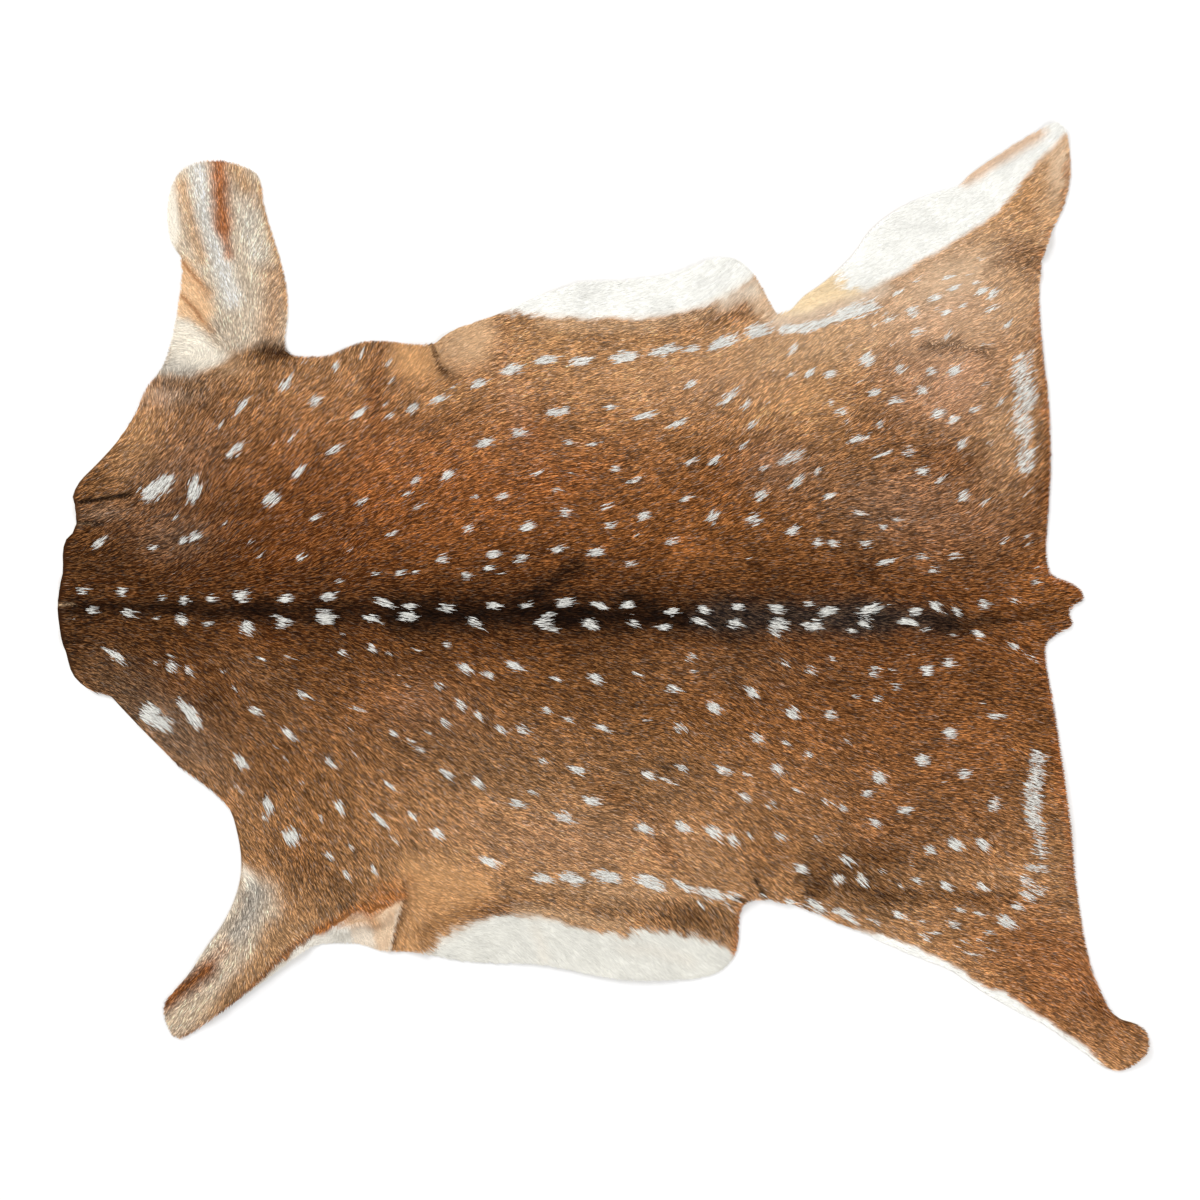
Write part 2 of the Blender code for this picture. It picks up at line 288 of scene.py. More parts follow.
# Soft round patches: the share of the tone in their middle, the middle, and how far they reach along and
# across their turn
PATCH_COLUMNS = ("name", "tone", "share", "x", "y", "along", "across", "turn")
PATCHES = (
    ("neck", "umber", 0.95, -525, 0, 125, 95, 0),
    ("neck, lower", "umber", 0.55, -445, -95, 70, 45, -30),
    ("withers", "deep brown", 0.8, -320, 5, 130, 50, 0),
    ("saddle", "deep brown", 0.6, -60, 15, 150, 32, 0),
    ("saddle, lower", "deep brown", 0.4, -100, -45, 170, 22, 0),
    ("shoulder, lower", "chestnut", 0.5, -330, -120, 100, 80, -20),
    ("shoulder, upper", "deep brown", 0.35, -295, 95, 45, 45, -60),
    ("back, upper", "ginger", 0.25, -170, 85, 90, 35, 5),
    ("lower back", "brown", 0.3, -40, -100, 260, 50, 0),
    ("loin, dull", "grey brown", 0.5, 150, -70, 110, 26, 0),
    ("loin, dull above", "umber", 0.25, 150, 30, 110, 20, 0),
    ("lower side", "grey brown", 0.55, -120, -160, 150, 45, -10),
    ("lower flank", "golden", 0.45, -60, -225, 100, 40, -6),
    ("flank, front", "dusk", 0.5, -270, -220, 80, 45, -50),
    ("rump", "russet", 0.65, 330, -50, 150, 110, 0),
    ("rump, lower", "russet", 0.55, 340, -200, 120, 75, 0),
    ("neck's upper edge", "tan", 0.75, -466, 160, 42, 20, 62),
    ("neck's upper root", "rose tan", 0.55, -440, 203, 18, 12, 40),
    # Painted shadow at the foreleg's root
    ("leg's root", "brown", 0.5, -398, 196, 30, 16, -10),
    ("neck, high", "brown", 0.4, -400, 140, 60, 30, 40),
    # Painted shadow in the fold behind the foreleg's root
    ("behind the leg", "umber", 0.5, -322, 243, 16, 6, 4),
    # Painted shade of a soft fold by the elbow
    ("elbow smudge", "russet", 0.6, -226, 210, 48, 9, 88),
    ("elbow", "tan", 0.5, -188, 240, 20, 12, 10),
    ("fold's end", "chestnut", 0.5, -160, 226, 18, 6, -58),
    ("flank rib, upper", "chestnut", 0.35, -102, 262, 20, 6, 86),
    ("flank pale streak", "rose tan", 0.4, -88, 195, 44, 8, -76),
    ("flank smudge", "russet", 0.45, -66, 165, 22, 16, 60),
    ("flank smudge, near", "russet", 0.5, -36, 118, 40, 18, 20),
    ("saddle smudge", "black brown", 0.5, -54, 9, 26, 7, 30),
    ("saddle smudge, front", "black brown", 0.6, -100, -2, 60, 7, 4),
    # Painted shade of a soft fold above the belly
    ("belly shade, upper", "chestnut", 0.45, -4, 266, 16, 12, 80),
    ("belly shade", "russet", 0.5, 92, 282, 44, 9, 8),
    ("flank light, upper", "tan", 0.65, 50, 222, 95, 28, 4),
    ("flank light, front", "tan", 0.4, -50, 258, 44, 14, 4),
    ("loin, warm", "chestnut", 0.5, 105, 105, 60, 36, 20),
    ("loin, warm rear", "russet", 0.3, 165, 150, 50, 18, 20),
    ("haunch hollow", "chestnut", 0.6, 240, 207, 30, 8, -8),
    ("haunch hollow, rear", "chestnut", 0.65, 282, 232, 18, 10, 50),
    ("haunch hollow, low", "russet", 0.5, 276, 176, 28, 24, 20),
    ("haunch", "rose tan", 0.65, 350, 215, 48, 40, 20),
    ("haunch brown", "russet", 0.6, 345, 136, 42, 18, -8),
    ("haunch, edge", "golden", 0.4, 402, 180, 20, 60, 0),
    ("thigh", "rose tan", 0.75, 352, 285, 60, 40, 20),
    ("thigh brown", "chestnut", 0.45, 318, 290, 14, 9, 60),
    # Painted shade in the knee's crease
    ("knee shade", "chestnut", 0.75, 412, 340, 28, 13, -8),
    ("knee, below", "amber", 0.6, 412, 320, 24, 12, -10),
    ("upper shank", "tan", 0.95, 430, 386, 56, 28, 60),
    ("upper shank, front", "amber", 0.5, 414, 374, 24, 14, 40),
    ("upper foot", "peach", 0.85, 457, 432, 36, 13, 80),
    ("rump edge brown", "chestnut", 0.5, 438, 100, 9, 26, 0),
    ("rump dark", "brown", 0.5, 360, 36, 24, 11, 10),
    ("croup dark", "deep brown", 0.45, 264, 30, 18, 16, 0),
    ("croup grey", "grey brown", 0.4, 250, 100, 60, 36, -20),
    ("neck, low dark", "umber", 0.7, -393, -104, 20, 12, 20),
    ("shoulder grey", "grey brown", 0.4, -350, -72, 30, 16, -20),
    ("shoulder smudge", "brown", 0.5, -330, -190, 18, 12, -30),
    ("shoulder edge", "dusk", 0.6, -385, -175, 18, 30, -50),
    ("leg's root, lower", "brown", 0.45, -270, -288, 60, 18, -30),
    ("side, warm", "ginger", 0.3, -220, -105, 50, 24, -10),
    ("elbow, golden", "tan", 0.75, -168, -272, 40, 17, 16),
    ("elbow, ginger", "ginger", 0.75, -214, -298, 24, 8, 32),
    ("belly fold, golden", "golden", 0.6, -128, -292, 30, 18, -10),
    ("belly fold, brown", "russet", 0.5, -105, -310, 40, 7, 4),
    ("belly line, brown", "dusk", 0.7, 0, -308, 90, 12, -6),
    ("side streak", "chestnut", 0.6, 22, -203, 34, 8, -28),
    ("side streak, rear", "chestnut", 0.5, 68, -258, 28, 8, -46),
    ("side, pale", "golden", 0.5, 98, -268, 22, 20, -30),
    ("stifle, golden", "amber", 0.5, 168, -255, 28, 28, 0),
    ("stifle dark", "brown", 0.85, 216, -286, 28, 12, 78),
    ("stifle dark, rear", "brown", 0.8, 272, -260, 36, 11, 6),
    ("stifle brown", "brown", 0.7, 272, -295, 34, 10, -8),
    ("thigh, pale band", "golden", 0.5, 370, -279, 60, 9, 4),
    ("thigh, dark band", "brown", 0.7, 372, -301, 60, 7, -2),
    ("lower thigh", "amber", 0.35, 390, -345, 50, 24, -20),
    ("lower shank, rear", "brown", 0.5, 478, -365, 20, 30, 20),
    ("hock shade", "brown", 0.75, 502, -408, 24, 14, -40),
    ("lower shank", "amber", 0.6, 440, -402, 50, 20, -38),
    ("lower foot", "golden", 0.5, 518, -446, 30, 14, -20),
    ("foot's dark edge", "brown", 0.6, 530, -424, 22, 7, -18),
    ("rump's edge, dark", "umber", 0.6, 458, -140, 12, 26, 6),
    ("rump, warm dark", "brown", 0.5, 375, -80, 24, 16, 0),
    ("rump, warm dark front", "brown", 0.4, 250, -78, 18, 12, 0),
    ("stifle shade, upper", "chestnut", 0.2, 135, 284, 22, 11, 12),
    ("lower flank fringe", "brown", 0.65, 84, -320, 40, 13, -10),
    ("haunch, front pale", "tan", 0.6, 198, 202, 26, 16, 20),
    ("haunch, near", "rose tan", 0.2, 350, 75, 70, 34, 0),
    ("loin, near", "ginger", 0.3, 120, 50, 60, 22, 0),
    ("shoulder, dark", "umber", 0.4, -250, 60, 44, 24, 0),
    ("shoulder, dark lower", "umber", 0.45, -262, -78, 50, 26, -10),
    ("rump, lower warm", "ginger", 0.25, 385, -155, 40, 30, 0),
    ("shank, lower dark", "chestnut", 0.45, 440, -340, 40, 24, 0),
    ("haunch, pale", "wheat", 0.5, 360, 265, 40, 22, 10),
    ("haunch, dull", "rose tan", 0.25, 290, 100, 50, 24, 0),
    ("lower flank, dull", "grey brown", 0.3, -80, -240, 60, 24, 0),
    ("lower foot, warm", "amber", 0.4, 520, -445, 30, 20, 0),
    ("upper side, warm", "copper", 0.38, -170, 115, 200, 75, 0),
    ("shank, warm", "copper", 0.35, 465, -385, 90, 50, -30),
    ("loin, pale", "rose tan", 0.25, 120, 215, 110, 24, 0),
    ("lower side, dull front", "rose tan", 0.15, -180, -110, 40, 24, 0),
    ("neck, low grey", "grey brown", 0.35, -500, -80, 26, 18, -20),
    ("lower flank, pale", "rose tan", 0.2, -30, -245, 90, 26, 0),
    ("shoulder, dull", "grey brown", 0.35, -330, -120, 34, 24, 0),
    ("thigh, upper pale", "wheat", 0.42, 348, 322, 50, 15, 32),
    ("thigh, upper tan", "tan", 0.5, 392, 368, 28, 15, 45),
    ("stifle, pale", "wheat", 0.6, 205, 250, 72, 26, 8),
    ("thigh, pale", "peach", 0.58, 345, 318, 75, 30, 25),
    ("haunch rear, pale", "wheat", 0.45, 410, 296, 26, 26, 0),
    ("rump's edge, pale", "wheat", 0.36, 402, 158, 26, 44, 0),
    ("tail root", "ginger", 0.4, 440, -2, 24, 24, 0),
    ("neck, lower ash", "fawn", 0.17, -430, -136, 60, 26, -40),
    ("neck, ash", "fawn", 0.12, -425, 60, 30, 18, 0),
    ("neck, upper ash", "fawn", 0.1, -430, 130, 50, 34, 40),
    # More painted shade in the knee's crease
    ("knee, dark", "chestnut", 0.42, 418, 346, 22, 14, -8),
    ("neck wisps", "fawn", 0.14, -498, 84, 20, 8, 5),
    ("flank, front lower", "chestnut", 0.35, -300, -252, 26, 20, -40),
    ("rump's edge, lower dark", "chestnut", 0.45, 448, -160, 14, 40, 4),
    ("thigh, lower dull", "russet", 0.35, 280, -228, 30, 24, 0),
    ("leg's root, pale", "fawn", 0.35, -432, 207, 26, 12, 0),
    ("leg's root, rear pale", "wheat", 0.5, -372, 230, 16, 9, 0),
    ("stifle, low", "umber", 0.5, 262, -292, 50, 24, -8),
    ("belly line, pale", "wheat", 0.3, 10, -298, 60, 14, 0),
    ("haunch top, pale", "tan", 0.5, 208, 200, 56, 36, 10),
    ("loin rear, pale", "rose tan", 0.3, 180, 134, 30, 22, 0),
    ("elbow, below", "tan", 0.35, -160, 205, 30, 14, 0),
)

# The back's dark stripe and other marks, painted over the patches
MARKS = (
    ("dark saddle", "deep brown", 0.6, 30, ((-330, -14), (-40, -14), (200, -14), (330, -18))),
    ("spine, neck", "black brown", 0.85, 8.5, ((-530, -10), (-420, -12), (-330, -14))),
    ("spine, withers", "black brown", 0.8, 12.5, ((-350, -14), (-250, -16), (-180, -16))),
    ("spine, saddle", "black brown", 1.0, 17, ((-200, -17), (-120, -18), (-40, -18))),
    ("spine, loin", "black brown", 1.0, 16, ((-50, -17), (60, -20), (130, -22))),
    ("spine, croup", "slate brown", 1.0, 17, ((110, -19), (200, -20), (270, -21))),
    ("spine, rump", "slate brown", 0.95, 13, ((250, -20), (310, -21), (345, -25))),
    ("spine, tail", "black brown", 0.75, 8, ((335, -25), (365, -28), (395, -22))),
    ("tail", "deep brown", 0.6, 6, ((395, -22), (425, -15), (462, -6))),
    ("saddle lick", "black brown", 0.75, 8, ((-85, -2), (-56, 9), (-38, 23), (-22, 31))),
    ("saddle lick, rear", "black brown", 0.85, 5, ((22, 1), (40, -4), (56, -14))),
    # Painted shade line where the elbow's fold ends
    ("elbow fold's end", "dark brown", 0.5, 3, ((-153, 221), (-142, 219))),
    # Painted shade along the thigh's fold
    ("thigh fold", "dark brown", 0.4, 6, ((323, 252), (352, 249), (386, 242))),
    ("lower rump edge", "rust", 0.6, 7, ((444, -60), (454, -110), (466, -200), (474, -290))),
    ("upper rump edge", "rust", 0.5, 6, ((449, 60), (449, 150), (445, 215), (440, 290))),
    ("upper shank edge", "rust", 0.4, 4, ((440, 330), (455, 372), (467, 410), (468, 440))),
    ("tail edge", "rust", 0.5, 6, ((444, 30), (458, 18), (478, 8))),
)

# Areas with a clear edge, painted over the marks, with their share of the usual hair length and how calm
# they are: 1 is even, and 0 is ticked light and dark
AREA_COLUMNS = ("name", "tone", "share", "feather", "length", "calm", "edge")
AREAS = (
    ("upper elbow", "tan", 0.75, 12, 0.8, 0.85,
     ((-212, 262), (-212, 232), (-190, 216), (-160, 218), (-166, 240), (-170, 262))),
    ("behind the upper elbow", "wheat", 0.7, 14, 0.8, 0.85,
     ((-166, 262), (-166, 244), (-152, 226), (-118, 232), (-104, 262), (-112, 292), (-150, 280))),
    ("upper belly", "white", 1.0, 3, 1.5, 1.0,
     ((-106, 286), (-80, 282), (-60, 279), (-40, 278), (-20, 277), (0, 277), (16, 279), (40, 277),
      (60, 280), (80, 284), (95, 288), (108, 293), (120, 297), (130, 303), (140, 311), (152, 320),
      (165, 350), (100, 370), (-60, 345), (-130, 310))),
    ("upper stifle", "peach", 0.75, 9, 1.0, 0.8,
     ((138, 298), (152, 322), (172, 300), (188, 280), (165, 272), (150, 284))),
    ("upper thigh, root", "butter", 0.95, 7, 1.2, 0.95,
     ((176, 282), (200, 281), (226, 291), (258, 301), (262, 330), (230, 340))),
    ("upper thigh", "white", 1.0, 4, 1.3, 1.0,
     ((232, 322), (246, 308), (264, 305), (282, 315), (300, 325), (320, 337), (342, 349), (360, 362),
      (378, 373), (394, 383), (402, 393), (412, 402), (420, 417), (430, 427), (440, 440), (450, 450),
      (462, 462), (472, 470), (455, 495), (380, 470), (320, 430), (250, 380))),
    ("lower belly", "ivory", 1.0, 3, 1.5, 1.0,
     ((-182, -360), (-168, -347), (-158, -338), (-145, -330), (-130, -323), (-115, -319), (-95, -317),
      (-75, -316), (-55, -320), (-35, -326), (-15, -333), (5, -338), (25, -336), (45, -331),
      (60, -332), (75, -337), (95, -340), (110, -343), (122, -348), (131, -357), (141, -368),
      (160, -380), (100, -420), (-60, -410), (-190, -390))),
    ("lower thigh fringe", "tan", 0.25, 8, 1.0, 0.4,
     ((212, -312), (236, -326), (262, -330), (290, -336), (320, -348), (350, -362), (380, -384),
      (350, -385), (290, -360), (240, -335))),
    ("lower thigh edge", "white", 1.0, 3, 1.1, 1.0,
     ((252, -331), (275, -337), (297, -343), (320, -353), (340, -363), (360, -374), (375, -385),
      (388, -392), (400, -394), (412, -402), (428, -413), (448, -426), (470, -441), (485, -452),
      (498, -464), (507, -476), (480, -500), (380, -430), (290, -375), (240, -345))),
    ("lower elbow, rear", "tan", 0.58, 13, 0.8, 0.85,
     ((-198, -262), (-150, -268), (-112, -280), (-108, -300), (-140, -326), (-165, -342), (-182, -362),
      (-214, -362), (-200, -310))),
    ("lower elbow, pocket", "cream", 0.75, 5, 0.7, 0.95,
     ((-262, -326), (-250, -318), (-240, -313), (-231, -319), (-226, -332), (-224, -358), (-262, -358))),
    ("lower elbow, front", "peach", 0.8, 3, 0.7, 0.95,
     ((-229, -318), (-214, -308), (-198, -301), (-202, -320), (-208, -340), (-212, -362), (-226, -362))),
    ("inner side", "stone", 1.0, 1.5, 0.7, 1.0,
     ((-376, -412), (-345, -388), (-325, -369), (-305, -351), (-288, -337), (-270, -330), (-256, -323),
      (-250, -330), (-249, -356), (-300, -378), (-350, -412))),
    ("lower foreleg", "fawn", 0.78, 12, 0.75, 0.3,
     ((-368, -286), (-348, -276), (-326, -290), (-322, -318), (-336, -345), (-356, -372), (-384, -402),
      (-412, -446), (-455, -440), (-450, -396), (-405, -350), (-380, -318))),
    ("lower foreleg, inner", "hazel", 0.8, 8, 0.75, 0.4,
     ((-338, -326), (-300, -322), (-284, -330), (-305, -348), (-345, -384), (-386, -416), (-420, -442),
      (-404, -420), (-372, -388), (-350, -362))),
    ("upper foreleg", "fawn", 0.9, 8, 0.75, 0.45,
     ((-450, 440), (-325, 440), (-308, 330), (-304, 262), (-318, 250), (-345, 252), (-368, 244),
      (-388, 232), (-412, 222), (-446, 222))),
    ("upper foreleg, margin", "cream", 1.0, 4, 0.7, 1.0,
     ((-445, 430), (-428, 425), (-424, 400), (-424, 365), (-427, 348), (-445, 340))),
    ("upper foreleg, peach", "apricot", 0.8, 7, 0.7, 0.85,
     ((-428, 342), (-412, 336), (-398, 312), (-388, 290), (-398, 268), (-430, 284))),
    ("upper foreleg, root", "cream", 0.85, 6, 0.75, 0.85,
     ((-434, 284), (-416, 276), (-402, 264), (-388, 252), (-372, 241), (-396, 228), (-436, 228))),
)

# Bands on the legs and in the hollows, painted over the areas; among them are painted shade along creases
# and pleats and painted highlights beside them
FINE_BANDS = (
    ("upper foreleg, front", "tan", 0.6, 8, ((-419, 412), (-411, 375), (-399, 342))),
    ("upper foreleg, middle", "white", 0.7, 9,
     ((-404, 429), (-400, 395), (-391, 360), (-379, 326), (-371, 300))),
    ("upper foreleg, stripe", "rust", 0.95, 8.5, ((-383, 438), (-382, 400), (-380, 372))),
    ("upper foreleg, stripe's end", "rust", 0.7, 5, ((-380, 370), (-376, 356), (-374, 344))),
    ("upper foreleg, top", "tan", 0.7, 8, ((-366, 430), (-356, 412), (-350, 396))),
    ("upper foreleg, rear", "stone", 0.5, 9, ((-355, 395), (-352, 365), (-346, 344))),
    ("upper foreleg, rear edge", "tan", 0.85, 5, ((-340, 412), (-330, 370), (-315, 322), (-313, 292))),
    ("upper foreleg, calf", "golden", 0.7, 13, ((-326, 322), (-326, 290), (-330, 262))),
    # Painted shadow and a painted shadow line in the fold at the foreleg's root
    ("upper foreleg, root shade", "umber", 0.85, 7.5, ((-334, 249), (-322, 248), (-311, 246))),
    ("upper foreleg, root line", "dark brown", 0.7, 2.5, ((-346, 241), (-330, 239), (-312, 240))),
    # Painted soft shade beside the upper foreleg's two folds, and painted shadow lines in them
    ("upper foreleg, upper crease", "golden", 0.6, 5, ((-420, 337), (-409, 323), (-394, 306))),
    ("upper foreleg, lower crease", "golden", 0.6, 4,
     ((-421, 302), (-410, 291), (-400, 276), (-392, 267))),
    ("upper foreleg, upper line", "russet", 0.6, 1.5, ((-421, 337), (-410, 324), (-400, 312))),
    ("upper foreleg, lower line", "russet", 0.6, 1.5, ((-421, 302), (-410, 291), (-401, 278))),
    ("upper foreleg, grey root", "steel", 0.7, 7, ((-442, 231), (-424, 229), (-410, 226))),
    ("neck corner", "grey brown", 0.7, 6, ((-444, 214), (-424, 213), (-404, 208))),
    ("lower foreleg, cream", "cream", 0.8, 6, ((-360, -274), (-352, -284), (-350, -290))),
    ("lower foreleg, front edge", "cream", 0.75, 5,
     ((-368, -296), (-378, -320), (-398, -348), (-420, -380))),
    ("lower foreleg, slate", "steel", 0.8, 10, ((-346, -298), (-352, -318), (-366, -338))),
    ("lower foreleg, stripe", "russet", 1.0, 9,
     ((-443, -410), (-427, -397), (-409, -384), (-396, -374))),
    ("lower foreleg, stripe's end", "rust", 0.35, 5, ((-394, -370), (-384, -359), (-376, -350))),
    ("lower foreleg, toe", "peach", 0.5, 9, ((-430, -424), (-412, -420), (-398, -408))),
    ("lower foreleg, rolled edge", "russet", 0.75, 2.2,
     ((-420, -443), (-400, -431), (-380, -417), (-360, -400), (-340, -381), (-322, -363), (-304, -347),
      (-284, -334), (-266, -326))),
    ("lower elbow, fringe", "dusk", 0.5, 8, ((-178, -336), (-150, -322), (-120, -310))),
    ("thigh, fringe", "cream", 0.4, 8, ((176, 274), (204, 278), (236, 288), (280, 308))),
    # Painted highlights on two neck pleats
    ("neck pleat, bright line", "wheat", 0.6, 1.2, ((-529, 75), (-510, 73))),
    ("neck edge, bright line", "wheat", 0.6, 1.2, ((-545, -7), (-527, -8))),
    ("tail groove", "dark brown", 0.6, 3, ((400, -24), (430, -19), (462, -15))),
    ("lower elbow, hook", "golden", 0.75, 6, ((-264, -322), (-250, -325), (-238, -322), (-226, -326))),
    ("lower elbow, peach", "peach", 0.6, 5, ((-214, -322), (-216, -340), (-219, -358))),
    ("lower elbow, arch", "ginger", 0.8, 4,
     ((-284, -334), (-262, -323), (-250, -315), (-240, -310), (-232, -316), (-226, -312), (-213, -305),
      (-199, -298))),
    # Painted highlight beside the lower elbow's fold, and a painted shadow line in it
    ("lower elbow, bright line", "cream", 0.5, 1.5, ((-202, -312), (-207, -336), (-213, -358))),
    ("lower elbow, crease", "dark brown", 0.75, 1.0,
     ((-198, -284), (-196, -300), (-199, -315), (-204, -332), (-210, -358))),
    ("upper thigh, outer edge", "tan", 0.7, 6.5,
     ((363, 417), (380, 429), (400, 441), (420, 453), (436, 464))),
    # Painted shadow line in the elbow's upper fold
    ("elbow fold, upper", "umber", 0.95, 1.2, ((-172, 256), (-167, 243), (-162, 232), (-154, 222))),
    ("upper belly, fringe", "wheat", 0.5, 7, ((-60, 274), (-20, 271), (40, 271), (90, 280), (124, 292))),
    ("upper belly, corner", "cream", 0.55, 8, ((122, 296), (138, 304), (150, 308))),
    ("lower belly, fringe", "wheat", 0.45, 6, ((-84, -311), (-40, -317), (0, -327), (20, -328))),
    # Painted shade of soft folds on the lower belly
    ("lower belly, fold", "stone", 0.6, 5, ((-70, -330), (-64, -345), (-60, -362))),
    ("lower belly, rear fold", "stone", 0.5, 6, ((20, -350), (50, -352), (84, -362))),
    ("stifle slit", "shadow", 0.8, 1.5, ((152, -280), (159, -294), (167, -306))),
    ("stifle slit, front", "shadow", 0.7, 1.5, ((130, -300), (141, -304), (150, -306))),
    ("stifle flap", "rust", 0.6, 5, ((141, -312), (137, -335), (134, -358))),
    ("neck pleat, upper", "shadow", 0.85, 2.4, ((-535, 93), (-505, 98), (-470, 104))),
    ("neck pleat, second", "shadow", 0.7, 1.8, ((-530, 76), (-503, 72))),
    ("neck pleat, lower", "shadow", 0.6, 1.8, ((-542, -45), (-525, -45))),
)

